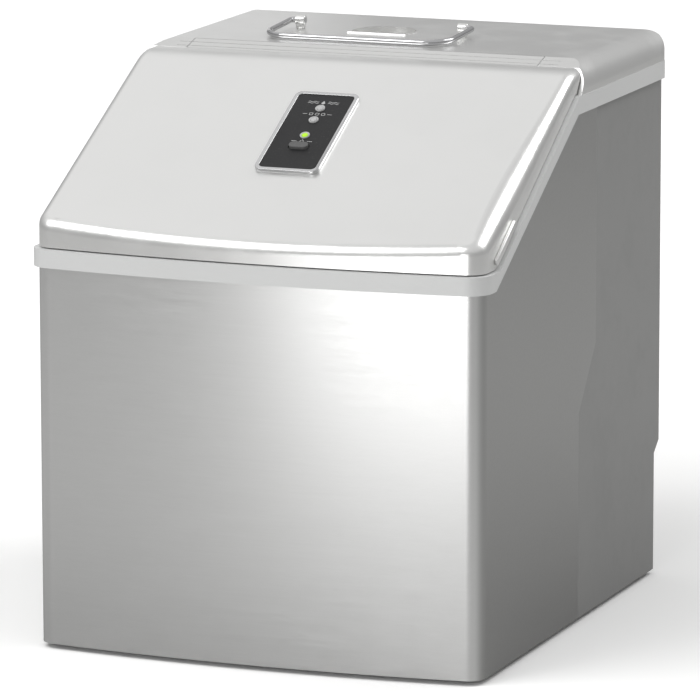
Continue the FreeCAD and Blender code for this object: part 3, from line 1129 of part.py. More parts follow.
def makeElectrics():
    xs, ys = ("-box_left", "-box_left + box_wide"), (f"{wallBack} + 30", f"{wallBack} + 30 + box_deep")
    zs = ("side_low - box_drop", "side_low - box_drop + box_tall")
    outer = block("box_outer", xs, ys, zs)
    inner = block("box_inner", (f"{xs[0]} + 2", f"{xs[1]} - 2"), (f"{ys[0]} + 2", f"{ys[1]} - 2"),
                  (f"{zs[0]} + 2", f"{zs[1]} + 5"))
    node(cut("box", outer, inner), "control_box")
    board = block("board_plate", (f"{xs[0]} + 6", f"{xs[1]} - 6"), (f"{ys[0]} + 6", f"{ys[1]} - 6"),
                  (f"{zs[0]} + 8", f"{zs[0]} + 9.6"))
    posts = [rod(f"board_post{index}", "Z", (x, y, f"{zs[0]} + 2"), "3", "6")
             for index, (x, y) in enumerate((a, b) for a in (f"{xs[0]} + 14", f"{xs[1]} - 14")
                                            for b in (f"{ys[0]} + 14", f"{ys[1]} - 14"))]
    chips = [block("transformer", (f"{xs[0]} + 20", f"{xs[0]} + 52"), (f"{ys[0]} + 20", f"{ys[0]} + 48"),
                   (f"{zs[0]} + 9.6", f"{zs[0]} + 30")),
             block("relay_one", (f"{xs[0]} + 62", f"{xs[0]} + 78"), (f"{ys[0]} + 16", f"{ys[0]} + 36"),
                   (f"{zs[0]} + 9.6", f"{zs[0]} + 26")),
             block("relay_two", (f"{xs[0]} + 84", f"{xs[0]} + 100"), (f"{ys[0]} + 16", f"{ys[0]} + 36"),
                   (f"{zs[0]} + 9.6", f"{zs[0]} + 26"))]
    node(join("board", board, *posts, *chips), "control_board")
    socketX, socketZ = ("inlet_x - inlet_wide/2", "inlet_x + inlet_wide/2"), ("inlet_z - inlet_tall/2",
                                                                             "inlet_z + inlet_tall/2")
    body = block("inlet_body", socketX, (f"{stepBack} - 19", stepBack), socketZ)
    mouth = block("inlet_mouth", ("inlet_x - inlet_wide/2 + 2", "inlet_x + inlet_wide/2 - 2"),
                  (f"{stepBack} - 15", f"{stepBack} + 5"),
                  ("inlet_z - inlet_tall/2 + 2", "inlet_z + inlet_tall/2 - 2"))
    pins = [block(f"inlet_pin{index}", (f"inlet_x + {x} - 1", f"inlet_x + {x} + 1"),
                  (f"{stepBack} - 16", f"{stepBack} - 3"), (f"inlet_z + {z} - 2", f"inlet_z + {z} + 2"))
            for index, (x, z) in enumerate(((-7, -2), (0, 2), (7, -2)))]
    node(join("inlet", cut("inlet_shell", body, mouth), *pins), "power_inlet")
    screws = []
    for index, (x, wall, z) in enumerate(rearScrews):
        disc = rod(f"screw_disc{index}", "Y", (x, wall, z), "screw_radius + 1.8", "1.8")
        head = roundEdges(f"screw_head{index}", disc,
                          lambda edge, y=number(wall): edge.CenterOfMass.y > y + 1 and edge.Length > 5, "0.8")
        shank = rod(f"screw_shank{index}", "Y", (x, f"{wall} - 8", z), "screw_radius", "8.5")
        cross = [block(f"screw_slot{index}", (f"{x} - 2.2", f"{x} + 2.2"), (f"{wall} + 1", f"{wall} + 3"),
                       (f"{z} - 0.4", f"{z} + 0.4")),
                 block(f"screw_cross{index}", (f"{x} - 0.4", f"{x} + 0.4"), (f"{wall} + 1", f"{wall} + 3"),
                       (f"{z} - 2.2", f"{z} + 2.2"))]
        screws.append(cut(f"screw{index}", join(f"screw_solid{index}", head, shank), *cross))
    node(group("screws", screws), "shell_screws")


rearScrews = [(f"{side}*({half} - 14)", wall, z) for side in (-1, 1) for wall, z in (
    (back, "side_low - 12"), (back, "step_high + 30"), (stepBack, f"({base} + 32)"))]

makeTrim()
makeFrontShell()
makeRearShell()
makeGrille()
makeBase()
makeTopCover()
makePins()
makeHandle()
makeLid()
makeTub()
makeIceMaking()
makeCompressor()
makeCondenser()
makeFan()
makeCooling()
makeElectrics()
document.recompute()

for piece in document.Objects:
    if "Invalid" in piece.State or "Error" in piece.State:
        raise RuntimeError(f"{piece.Name} did not rebuild")
for piece in nodes:
    if piece.Shape.isNull() or not piece.Shape.isValid() or not piece.Shape.Solids:
        raise RuntimeError(f"{piece.Label} has no sound solid")

os.makedirs("parts", exist_ok=True)
for piece in nodes:
    piece.Shape.exportStep(f"parts/{piece.Label}.step")
print(f"{len(nodes)} sub-parts written")
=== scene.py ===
import json
import math
import bpy
from mathutils import Matrix, Vector


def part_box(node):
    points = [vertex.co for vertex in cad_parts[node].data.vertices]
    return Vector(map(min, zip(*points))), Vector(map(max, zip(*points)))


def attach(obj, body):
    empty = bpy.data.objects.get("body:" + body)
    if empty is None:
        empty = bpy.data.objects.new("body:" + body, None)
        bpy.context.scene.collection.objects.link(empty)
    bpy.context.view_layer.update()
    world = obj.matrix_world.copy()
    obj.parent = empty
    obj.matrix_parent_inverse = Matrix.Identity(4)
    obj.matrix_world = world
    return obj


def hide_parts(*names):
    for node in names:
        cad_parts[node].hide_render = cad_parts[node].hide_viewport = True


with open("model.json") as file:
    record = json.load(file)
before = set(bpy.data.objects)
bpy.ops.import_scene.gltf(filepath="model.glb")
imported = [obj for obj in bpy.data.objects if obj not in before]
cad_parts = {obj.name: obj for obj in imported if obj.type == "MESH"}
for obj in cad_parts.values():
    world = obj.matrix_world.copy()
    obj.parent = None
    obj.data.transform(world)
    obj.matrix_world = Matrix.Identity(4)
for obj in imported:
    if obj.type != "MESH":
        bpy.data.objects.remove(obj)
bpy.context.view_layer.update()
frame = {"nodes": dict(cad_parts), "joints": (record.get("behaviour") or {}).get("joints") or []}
cad = frame["nodes"]
print("frame: loaded", len(cad), "nodes")

cameraSetup = {
    "place": (1.6708, -4.3097, 1.0904),
    "azimuth": 21.22,  # degrees to the right of the front
    "elevation": 10.87,
    "roll": -0.09,
    "lens": 317.86,
    "sensor": 36.0,
}

lightSetup = {
    # name: (where it stands, what it points at, width, height, watts)
    "keySoftbox": ((-1.05, -1.35, 2.25), (0.0, 0.0, 0.25), 1.5, 1.5, 24.0),
    "backSoftbox": ((1.35, 1.15, 1.95), (0.05, 0.0, 0.3), 1.1, 1.4, 17.0),
    "frontPanelLight": ((0.06, -1.3, 0.1), (0.06, 0.0, 0.14), 0.75, 0.8, 4.2),
    "lidLight": ((-0.9, 0.9, 2.1), (0.0, -0.1, 0.4), 1.4, 1.2, 1.3),
    "coverLight": ((-1.35, 2.2, 0.85), (-0.1, 0.1, 0.43), 0.9, 0.8, 0.9),
}

roomSetup = {
    "overhead": 0.80,
    "front": 0.42,
    "back": 0.42,
    "seen": 1.0,
    "floorSeen": (1.12, 1.12, 1.115, 1.0),
    "floorFar": (1.9, 1.9, 1.89, 1.0),
    "floorLit": (0.56, 0.56, 0.555, 1.0),
}


def makeCamera(setup):
    azimuth, elevation, roll = (math.radians(setup[word]) for word in ("azimuth", "elevation", "roll"))
    back = Vector((math.sin(azimuth) * math.cos(elevation), -math.cos(azimuth) * math.cos(elevation),
                   math.sin(elevation)))
    right = Vector((math.cos(azimuth), math.sin(azimuth), 0.0))
    up = back.cross(right)
    turnedRight = right * math.cos(roll) + up * math.sin(roll)
    turnedUp = up * math.cos(roll) - right * math.sin(roll)
    bpy.ops.object.camera_add()
    camera = bpy.context.object
    camera.name = "camera"
    camera.matrix_world = Matrix.Translation(Vector(setup["place"])) @ Matrix(
        (turnedRight, turnedUp, back)).transposed().to_4x4()
    camera.data.lens = setup["lens"]
    camera.data.sensor_width = setup["sensor"]
    camera.data.clip_start = 0.1
    camera.data.clip_end = 60.0
    bpy.context.scene.camera = camera


def makeLights(setup):
    for name, (place, target, width, height, watts) in setup.items():
        bpy.ops.object.light_add(type="AREA", location=place)
        lamp = bpy.context.object
        lamp.name = name
        lamp.data.shape = "RECTANGLE"
        lamp.data.size = width
        lamp.data.size_y = height
        lamp.data.energy = watts
        lamp.visible_camera = False
        aim = Vector(target) - Vector(place)
        lamp.rotation_euler = aim.to_track_quat("-Z", "Y").to_euler()


def put(tree, kind, inputs=None, **settings):
    made = tree.nodes.new(kind)
    for name, value in settings.items():
        setattr(made, name, value)
    for name, value in (inputs or {}).items():
        made.inputs[name].default_value = value
    return made


def join(tree, source, target):
    tree.links.new(source, target)


def makeRoom(setup):
    world = bpy.data.worlds.new("studio")
    bpy.context.scene.world = world
    world.use_nodes = True
    tree = world.node_tree
    tree.nodes.clear()
    # brightness of the room by direction: overhead, in front and behind
    spot = put(tree, "ShaderNodeTexCoord")
    split = put(tree, "ShaderNodeSeparateXYZ")
    join(tree, spot.outputs["Generated"], split.inputs[0])
    ahead = put(tree, "ShaderNodeMapRange", {"From Min": -0.9, "From Max": 0.9, "To Min": setup["front"],
                                              "To Max": setup["back"]})
    join(tree, split.outputs["Y"], ahead.inputs["Value"])
    high = put(tree, "ShaderNodeMapRange", {"From Min": 0.1, "From Max": 0.8},
               interpolation_type="SMOOTHSTEP")
    join(tree, split.outputs["Z"], high.inputs["Value"])
    level = put(tree, "ShaderNodeMix", {"B": setup["overhead"]}, data_type="FLOAT")
    join(tree, high.outputs[0], level.inputs["Factor"])
    join(tree, ahead.outputs[0], level.inputs["A"])
    path = put(tree, "ShaderNodeLightPath")
    seen = put(tree, "ShaderNodeMix", {"B": setup["seen"]}, data_type="FLOAT")
    join(tree, path.outputs["Is Camera Ray"], seen.inputs["Factor"])
    join(tree, level.outputs[0], seen.inputs["A"])
    glow = put(tree, "ShaderNodeBackground")
    join(tree, seen.outputs[0], glow.inputs["Strength"])
    end = put(tree, "ShaderNodeOutputWorld")
    join(tree, glow.outputs[0], end.inputs[0])


def makeFloor(setup):
    bpy.ops.mesh.primitive_plane_add(size=1.0)
    floor = bpy.context.object
    floor.name = "studioFloor"
    floor.scale = (30.0, 30.0, 1.0)
    bpy.ops.object.transform_apply(scale=True)
    paint = bpy.data.materials.new("paleFloor")
    paint.use_nodes = True
    tree = paint.node_tree
    tree.nodes.clear()
    path = put(tree, "ShaderNodeLightPath")
    # the far floor gets less light, so it is painted lighter to keep one even background
    away = put(tree, "ShaderNodeVectorMath", operation="LENGTH")
    join(tree, put(tree, "ShaderNodeTexCoord").outputs["Object"], away.inputs[0])
    reach = put(tree, "ShaderNodeMapRange", {"From Min": 0.6, "From Max": 4.0})
    join(tree, away.outputs["Value"], reach.inputs["Value"])
    paleTone = put(tree, "ShaderNodeMix", data_type="RGBA")
    paleTone.inputs["A"].default_value = setup["floorSeen"]
    paleTone.inputs["B"].default_value = setup["floorFar"]
    join(tree, reach.outputs[0], paleTone.inputs["Factor"])
    tone = put(tree, "ShaderNodeMix", data_type="RGBA")
    tone.inputs["A"].default_value = setup["floorLit"]
    join(tree, paleTone.outputs["Result"], tone.inputs["B"])
    join(tree, path.outputs["Is Camera Ray"], tone.inputs["Factor"])
    matt = put(tree, "ShaderNodeBsdfDiffuse", {"Roughness": 0.6})
    join(tree, tone.outputs["Result"], matt.inputs["Color"])
    end = put(tree, "ShaderNodeOutputMaterial")
    join(tree, matt.outputs[0], end.inputs["Surface"])
    floor.data.materials.append(paint)


makeCamera(cameraSetup)
makeLights(lightSetup)
makeRoom(roomSetup)
makeFloor(roomSetup)
bpy.context.scene.view_settings.view_transform = "Standard"
bpy.context.scene.view_settings.look = "None"
print("studio: camera, floor and", len(lightSetup), "lights")


def newGroup(name, numbers, results):
    group = bpy.data.node_groups.new(name, "ShaderNodeTree")
    for word, value in numbers.items():
        socket = group.interface.new_socket(word, in_out="INPUT", socket_type="NodeSocketFloat")
        socket.default_value = value
    for word in results:
        group.interface.new_socket(word, in_out="OUTPUT", socket_type="NodeSocketFloat")
    return group, put(group, "NodeGroupInput"), put(group, "NodeGroupOutput")


def noiseIn(tree, spot, scale, detail, rough=0.5):
    made = put(tree, "ShaderNodeTexNoise", {"Detail": detail, "Roughness": rough})
    join(tree, spot, made.inputs["Vector"])
    if isinstance(scale, (int, float)):
        made.inputs["Scale"].default_value = scale
    else:
        join(tree, scale, made.inputs["Scale"])
    return made.outputs["Fac"]


def sums(tree, kind, first, second):
    made = put(tree, "ShaderNodeMath", operation=kind)
    for index, term in enumerate((first, second)):
        if isinstance(term, (int, float)):
            made.inputs[index].default_value = term
        else:
            join(tree, term, made.inputs[index])
    return made.outputs[0]


def spread(tree, value, low, high, start=0.0, end=1.0):
    limits = {"From Min": low, "From Max": high, "To Min": start, "To Max": end}
    made = put(tree, "ShaderNodeMapRange", limits, interpolation_type="SMOOTHSTEP")
    join(tree, value, made.inputs["Value"])
    return made.outputs[0]


def makeSatinGroup():
    # Fine pebble of a sprayed or rolled coat over a slow, cloudy change of tone
    group, given, result = newGroup("satinCoat", {"Pebble": 1800.0, "Cloud": 9.0},
                                    ("Tone", "Gloss", "Height"))
    spot = put(group, "ShaderNodeTexCoord").outputs["Object"]
    pebble = noiseIn(group, spot, given.outputs["Pebble"], 2.0)
    cloud = noiseIn(group, spot, given.outputs["Cloud"], 4.0)
    smear = noiseIn(group, spot, 31.0, 6.0, 0.65)
    join(group, sums(group, "ADD", sums(group, "MULTIPLY", cloud, 0.7), sums(group, "MULTIPLY", pebble, 0.3)),
         result.inputs["Tone"])
    join(group, spread(group, smear, 0.35, 0.7), result.inputs["Gloss"])
    join(group, pebble, result.inputs["Height"])
    return group


def makeBrushGroup():
    # Long fine scratches along X or Z, with a few deeper ones among them
    group, given, result = newGroup("brushedGrain", {"Fine": 2600.0, "Upright": 0.0},
                                    ("Streak", "Deep", "Height"))
    spot = put(group, "ShaderNodeTexCoord").outputs["Object"]
    flat = put(group, "ShaderNodeMapping", {"Scale": (0.012, 1.0, 1.0)})
    tall = put(group, "ShaderNodeMapping", {"Scale": (1.0, 1.0, 0.012)})
    join(group, spot, flat.inputs["Vector"])
    join(group, spot, tall.inputs["Vector"])
    way = put(group, "ShaderNodeMix", data_type="VECTOR")
    join(group, given.outputs["Upright"], way.inputs["Factor"])
    join(group, flat.outputs[0], way.inputs["A"])
    join(group, tall.outputs[0], way.inputs["B"])
    fine = noiseIn(group, way.outputs["Result"], given.outputs["Fine"], 3.0, 0.6)
    wide = noiseIn(group, way.outputs["Result"], 420.0, 2.0)
    join(group, sums(group, "ADD", sums(group, "MULTIPLY", fine, 0.6), sums(group, "MULTIPLY", wide, 0.4)),
         result.inputs["Streak"])
    join(group, spread(group, wide, 0.62, 0.75), result.inputs["Deep"])
    join(group, fine, result.inputs["Height"])
    return group


def makeWearGroup():
    # Handling marks and settled dust: more on faces that look up and towards the underside
    group, given, result = newGroup("handledSurface", {"Amount": 0.5, "Floor": 0.03}, ("Dust", "Rub"))
    coords = put(group, "ShaderNodeTexCoord")
    spot = coords.outputs["Object"]
    split = put(group, "ShaderNodeSeparateXYZ")
    join(group, spot, split.inputs[0])
    facing = put(group, "ShaderNodeSeparateXYZ")
    join(group, coords.outputs["Normal"], facing.inputs[0])
    low = put(group, "ShaderNodeMapRange", {"From Min": 0.0, "To Min": 1.0, "To Max": 0.0})
    join(group, split.outputs["Z"], low.inputs["Value"])
    join(group, given.outputs["Floor"], low.inputs["From Max"])
    up = spread(group, facing.outputs["Z"], 0.6, 1.0)
    specks = spread(group, noiseIn(group, spot, 900.0, 3.0), 0.58, 0.72)
    patches = noiseIn(group, spot, 26.0, 5.0, 0.6)
    dusty = sums(group, "MULTIPLY", sums(group, "MAXIMUM", low.outputs[0], up),
                 sums(group, "MULTIPLY", specks, patches))
    join(group, sums(group, "MULTIPLY", dusty, given.outputs["Amount"]), result.inputs["Dust"])
    rubbed = spread(group, noiseIn(group, spot, 60.0, 8.0, 0.7), 0.55, 0.8)
    join(group, sums(group, "MULTIPLY", rubbed, given.outputs["Amount"]), result.inputs["Rub"])
    return group


effects = {"satin": makeSatinGroup(), "brush": makeBrushGroup(), "wear": makeWearGroup()}
print("effects:", ", ".join(effects))


def addEffect(tree, effect, inputs):
    made = put(tree, "ShaderNodeGroup", node_tree=effects[effect])
    for name, value in inputs.items():
        made.inputs[name].default_value = value
    return made


def blendColor(tree, factor, first, second):
    made = put(tree, "ShaderNodeMix", data_type="RGBA")
    join(tree, factor, made.inputs["Factor"])
    for word, tone in (("A", first), ("B", second)):
        if isinstance(tone, tuple):
            made.inputs[word].default_value = (*tone, 1.0)
        else:
            join(tree, tone, made.inputs[word])
    return made.outputs["Result"]


def startFinish(name, fixed):
    finish = bpy.data.materials.new(name)
    finish.use_nodes = True
    tree = finish.node_tree
    shader = tree.nodes["Principled BSDF"]
    for word, value in fixed.items():
        shader.inputs[word].default_value = value
    return finish, tree, shader


def bumpFrom(tree, shader, height, strength, depth):
    bump = put(tree, "ShaderNodeBump", {"Strength": strength, "Distance": depth})
    join(tree, height, bump.inputs["Height"])
    join(tree, bump.outputs[0], shader.inputs["Normal"])


def coatFinish(name, light, dark, metal, rough, bump=0.12, pebble=1800.0, dust=0.35, **fixed):
    finish, tree, shader = startFinish(name, {"Metallic": metal, **fixed})
    coat = addEffect(tree, "satin", {"Pebble": pebble})
    wear = addEffect(tree, "wear", {"Amount": dust})
    tone = blendColor(tree, coat.outputs["Tone"], dark, light)
    tone = blendColor(tree, wear.outputs["Dust"], tone, (0.62, 0.61, 0.58))
    join(tree, tone, shader.inputs["Base Color"])
    worn = sums(tree, "ADD", coat.outputs["Gloss"], wear.outputs["Rub"])
    gloss = spread(tree, worn, 0.0, 1.6, rough - 0.03, rough + 0.07)
    join(tree, gloss, shader.inputs["Roughness"])
    bumpFrom(tree, shader, coat.outputs["Height"], bump, 0.0002)
    return finish


def steelFinish(name, light, dark, rough, upright=0.0, fine=2600.0, bump=0.1):
    finish, tree, shader = startFinish(name, {"Metallic": 1.0})
    brush = addEffect(tree, "brush", {"Fine": fine, "Upright": upright})
    wear = addEffect(tree, "wear", {"Amount": 0.4})
    tone = blendColor(tree, brush.outputs["Streak"], dark, light)
    tone = blendColor(tree, wear.outputs["Dust"], tone, (0.6, 0.6, 0.58))
    join(tree, tone, shader.inputs["Base Color"])
    gloss = sums(tree, "ADD", spread(tree, brush.outputs["Streak"], 0.3, 0.7, rough - 0.04, rough + 0.05),
                 sums(tree, "MULTIPLY", wear.outputs["Rub"], 0.06))
    join(tree, gloss, shader.inputs["Roughness"])
    bumpFrom(tree, shader, brush.outputs["Height"], bump, 0.0001)
    return finish


def wrapFinish(name, light, dark, side, rough, sideShadeStart):
    # the front sheet: brushed on its face; where it wraps round to the sides it gets a darker grey, partly a
    # grey side paint and partly painted shade for the less lit sides
    finish, tree, shader = startFinish(name, {"Metallic": 1.0})
    brush = addEffect(tree, "brush", {"Fine": 2600.0, "Upright": 0.0})
    wear = addEffect(tree, "wear", {"Amount": 0.25})
    spot = put(tree, "ShaderNodeTexCoord").outputs["Object"]
    split = put(tree, "ShaderNodeSeparateXYZ")
    join(tree, spot, split.inputs[0])
    across = sums(tree, "ABSOLUTE", split.outputs["X"], 0.0)
    # mask for the darker sides past the corner: partly a grey side paint, partly painted shade
    sideShadeMask = spread(tree, across, sideShadeStart, sideShadeStart + 0.005)
    tone = blendColor(tree, brush.outputs["Streak"], dark, light)
    tone = blendColor(tree, sideShadeMask, tone, side)
    tone = blendColor(tree, wear.outputs["Dust"], tone, (0.6, 0.6, 0.58))
    join(tree, tone, shader.inputs["Base Color"])
    gloss = spread(tree, brush.outputs["Streak"], 0.3, 0.7, rough - 0.04, rough + 0.05)
    join(tree, gloss, shader.inputs["Roughness"])
    bumpFrom(tree, shader, brush.outputs["Height"], 0.1, 0.0001)
    return finish


finishes = {
    # frontSteel's third colour is the side grey, partly side paint and partly painted shade on the less lit
    # sides
    "frontSteel": wrapFinish("frontSteel", (0.78, 0.78, 0.775), (0.70, 0.70, 0.695), (0.43, 0.43, 0.425),
                             0.33, 0.1705),
    "sidePaint": coatFinish("sidePaint", (0.36, 0.36, 0.355), (0.32, 0.32, 0.317), 0.35, 0.42),
    "trimPlastic": coatFinish("trimPlastic", (0.76, 0.765, 0.76), (0.70, 0.705, 0.70), 0.0, 0.42, bump=0.2,
                              pebble=1300.0),
    "silverLid": coatFinish("silverLid", (0.84, 0.84, 0.83), (0.80, 0.80, 0.79), 0.82, 0.31, bump=0.05,
                            dust=0.06),
    "whiteLiner": coatFinish("whiteLiner", (0.87, 0.88, 0.88), (0.83, 0.84, 0.84), 0.0, 0.3, bump=0.08,
                             dust=0.06),
    "seal": coatFinish("seal", (0.42, 0.42, 0.42), (0.34, 0.34, 0.34), 0.0, 0.75, bump=0.3),
    "blackRubber": coatFinish("blackRubber", (0.035, 0.035, 0.035), (0.02, 0.02, 0.02), 0.0, 0.8, bump=0.4,
                              pebble=900.0),
    "chrome": coatFinish("chrome", (0.62, 0.62, 0.63), (0.54, 0.54, 0.55), 1.0, 0.12, bump=0.02, dust=0.05),
    "frameSilver": coatFinish("frameSilver", (0.66, 0.66, 0.665), (0.60, 0.60, 0.605), 1.0, 0.2, bump=0.03,
                              dust=0.05),
    "fascia": coatFinish("fascia", (0.022, 0.022, 0.023), (0.015, 0.015, 0.016), 0.0, 0.44, bump=0.15,
                         pebble=3200.0, dust=0.08, **{"Specular IOR Level": 0.25}),
    "lampRing": coatFinish("lampRing", (0.55, 0.55, 0.55), (0.48, 0.48, 0.48), 0.0, 0.4),
    "buttonCap": coatFinish("buttonCap", (0.13, 0.13, 0.13), (0.09, 0.09, 0.09), 0.0, 0.55, bump=0.5,
                            pebble=2400.0),
    "lampLit": coatFinish("lampLit", (0.40, 0.70, 0.02), (0.34, 0.62, 0.015), 0.0, 0.3, dust=0.05,
                          **{"Emission Color": (0.36, 0.66, 0.01, 1.0), "Emission Strength": 0.45}),
    "paleInk": coatFinish("paleInk", (0.52, 0.52, 0.52), (0.44, 0.44, 0.44), 0.0, 0.5, dust=0.1),
    "board": coatFinish("board", (0.03, 0.22, 0.08), (0.02, 0.15, 0.05), 0.0, 0.35),
    "blackPlastic": coatFinish("blackPlastic", (0.04, 0.04, 0.04), (0.025, 0.025, 0.025), 0.0, 0.55,
                               bump=0.35, pebble=1100.0, dust=0.6),
    "zinc": steelFinish("zinc", (0.62, 0.63, 0.64), (0.5, 0.51, 0.52), 0.38, fine=900.0),
    "copper": steelFinish("copper", (0.80, 0.42, 0.27), (0.62, 0.30, 0.18), 0.28, upright=1.0, fine=1500.0),
    "nickel": coatFinish("nickel", (0.74, 0.73, 0.71), (0.62, 0.62, 0.61), 1.0, 0.24, bump=0.1),
    "fins": steelFinish("fins", (0.80, 0.81, 0.82), (0.66, 0.67, 0.68), 0.34, upright=1.0),
    "canPaint": coatFinish("canPaint", (0.035, 0.035, 0.036), (0.02, 0.02, 0.021), 0.0, 0.22, bump=0.25,
                           pebble=700.0),
    "silicone": coatFinish("silicone", (0.78, 0.80, 0.80), (0.70, 0.72, 0.72), 0.0, 0.35),
    "foam": coatFinish("foam", (0.85, 0.78, 0.58), (0.74, 0.66, 0.46), 0.0, 0.9, bump=0.8, pebble=650.0),
}

finishOf = {
    "frontSteel": ["front_shell"],
    "sidePaint": ["rear_shell"],
    "trimPlastic": ["trim_frame"],
    "silverLid": ["top_cover", "lid_shell", "lid_pulls"],
    "whiteLiner": ["inner_tub", "lid_liner", "ice_basket", "basket_grid", "water_tray", "evaporator_cover",
                   "ice_chute", "tray_brackets", "drain_spout", "drain_cap", "level_float", "float_stem",
                   "ice_sensors"],
    "seal": ["lid_seal"],
    "blackRubber": ["rubber_feet", "rubber_grommets"],
    "chrome": ["carry_handle"],
    "frameSilver": ["handle_brackets", "panel_bezel"],
    "fascia": ["panel_fascia"],
    "lampRing": ["lamp_bezels", "lamp_lenses"],
    "buttonCap": ["power_button"],
    "board": ["panel_board", "control_board"],
    "blackPlastic": ["base_pan", "back_grille", "control_box", "fan", "fan_shroud", "power_inlet",
                     "terminal_cover", "water_pump", "button_switch"],
    "zinc": ["bulkhead", "compressor_plate", "tray_motor", "fan_motor", "shell_screws", "hinge_pins"],
    "copper": ["suction_pipe", "hot_gas_pipe", "discharge_pipe", "condenser_tube", "filter_drier",
               "hot_gas_valve"],
    "nickel": ["evaporator_tube", "ice_fingers"],
    "fins": ["condenser_fins"],
    "canPaint": ["compressor"],
    "silicone": ["water_hose"],
    "foam": ["cabinet_insulation", "lid_insulation"],
}

for finishName, members in finishOf.items():
    for member in members:
        slots = cad[member].data.materials
        slots.clear()
        slots.append(finishes[finishName])
print("finishes:", len(finishes), "on the frame's nodes")


def onlyThis(piece):
    bpy.ops.object.select_all(action="DESELECT")
    piece.select_set(True)
    bpy.context.view_layer.objects.active = piece


def pickFaces(piece, wanted):
    # leaves the piece in edit mode with the wanted faces selected
    onlyThis(piece)
    bpy.ops.object.mode_set(mode="EDIT")
    bpy.ops.mesh.select_mode(type="FACE")
    bpy.ops.mesh.select_all(action="DESELECT")
    bpy.ops.object.mode_set(mode="OBJECT")
    for face in piece.data.polygons:
        face.select = wanted(face)
    bpy.ops.object.mode_set(mode="EDIT")


def faceUp(face):
    return face.normal.z > 0.9 and face.center.z > 0.0


def fixPlace(piece):
    onlyThis(piece)
    bpy.ops.object.transform_apply(location=True, rotation=True, scale=True)


def softenEdges(piece, width, steps, angle=35.0):
    onlyThis(piece)
    rounding = piece.modifiers.new("softEdge", "BEVEL")
    rounding.width = width
    rounding.segments = steps
    rounding.limit_method = "ANGLE"
    rounding.angle_limit = math.radians(angle)
    bpy.ops.object.modifier_apply(modifier=rounding.name)


def thicken(piece, amount):
    onlyThis(piece)
    sheet = piece.modifiers.new("body", "SOLIDIFY")
    sheet.thickness = amount
    sheet.offset = 1.0
    bpy.ops.object.modifier_apply(modifier=sheet.name)


def joinPieces(name, pieces):
    onlyThis(pieces[0])
    for piece in pieces[1:]:
        piece.select_set(True)
    if len(pieces) > 1:
        bpy.ops.object.join()
    pieces[0].name = name
    return pieces[0]


def dress(piece, body, finish, slot, *nodes):
    onlyThis(piece)
    bpy.ops.object.shade_smooth_by_angle(angle=math.radians(38.0))
    piece.data.materials.clear()
    piece.data.materials.append(finishes[finish])
    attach(piece, body)
    if nodes:
        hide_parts(*nodes)


# The panel's own directions come from the way its button is pressed
pressWay = next(joint["axis"] for joint in frame["joints"] if joint["name"] == "button_press")
panelOut = -Vector(pressWay).normalized()
panelUp = Vector((0.0, panelOut.z, -panelOut.y))
fasciaLow, fasciaHigh = (Vector(corner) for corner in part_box("panel_fascia"))
panelSetup = {
    "halfThick": 0.0011,
    "lampsDown": (-0.0301, -0.0151, 0.0049),
    "buttonDown": 0.0189,
}
fasciaMiddle = (fasciaLow + fasciaHigh) / 2 + panelOut * panelSetup["halfThick"]


def layOnPanel(piece, across, down, lift=0.0):
    # a piece is made flat at the origin, then laid on the slope and fixed there
    way = Matrix((Vector((1.0, 0.0, 0.0)), panelUp, panelOut)).transposed().to_4x4()
    spot = fasciaMiddle + Vector((across, 0.0, 0.0)) - panelUp * down + panelOut * lift
    piece.matrix_world = Matrix.Translation(spot) @ way
    fixPlace(piece)


lampSetup = {
    "outer": 0.00375,
    "rim": 0.0010,
    "rise": 0.0010,
    "sink": 0.0004,
    "rimEdge": 0.00018,
    "lens": 0.0023,
    "lensThick": 0.0006,
    "lensLift": 0.0005,
    "lensEdge": 0.00012,
    # how far each ring of the dome steps in and up
    "domeSteps": ((0.0005, 0.00022), (0.0006, 0.00013), (0.0006, 0.00006)),
}


def makeLampRing(number, down, setup):
    bpy.ops.mesh.primitive_cylinder_add(vertices=56, radius=setup["outer"], depth=setup["rise"] * 2)
    ring = bpy.context.object
    pickFaces(ring, faceUp)
    bpy.ops.mesh.inset(thickness=setup["rim"])
    bpy.ops.transform.translate(value=(0.0, 0.0, -setup["sink"]))
    bpy.ops.mesh.inset(thickness=setup["rim"] * 0.35)
    bpy.ops.transform.translate(value=(0.0, 0.0, -setup["sink"]))
    bpy.ops.object.mode_set(mode="OBJECT")
    softenEdges(ring, setup["rimEdge"], 3)
    ring.name = f"lampRing{number}"
    layOnPanel(ring, 0.0, down)
    dress(ring, "lid", "lampRing", "lamp_grey", "lamp_bezels")


def makeLampLens(number, down, setup, finish, slot):
    bpy.ops.mesh.primitive_cylinder_add(vertices=40, radius=setup["lens"],
                                        depth=setup["lensThick"])
    lens = bpy.context.object
    pickFaces(lens, faceUp)
    for inward, up in setup["domeSteps"]:
        bpy.ops.mesh.inset(thickness=inward)
        bpy.ops.transform.translate(value=(0.0, 0.0, up))
    bpy.ops.object.mode_set(mode="OBJECT")
    softenEdges(lens, setup["lensEdge"], 2)
    lens.name = f"lampLens{number}"
    layOnPanel(lens, 0.0, down, setup["lensLift"])
    dress(lens, "lid", finish, slot, "lamp_lenses")


for number, down in enumerate(panelSetup["lampsDown"]):
    makeLampRing(number, down, lampSetup)
    finish, slot = ("lampLit", "lamp_green") if number == 2 else ("lampRing", "lamp_grey")
    makeLampLens(number, down, lampSetup, finish, slot)
print("panel: three lamps")


buttonSetup = {
    "long": 0.0152,
    "wide": 0.007,
    "rise": 0.0022,
    "rimIn": 0.0006,
    "rimUp": 0.0001,
    "dishIn": 0.0009,
    "dishDown": 0.00025,
    "edge": 0.0005,
}


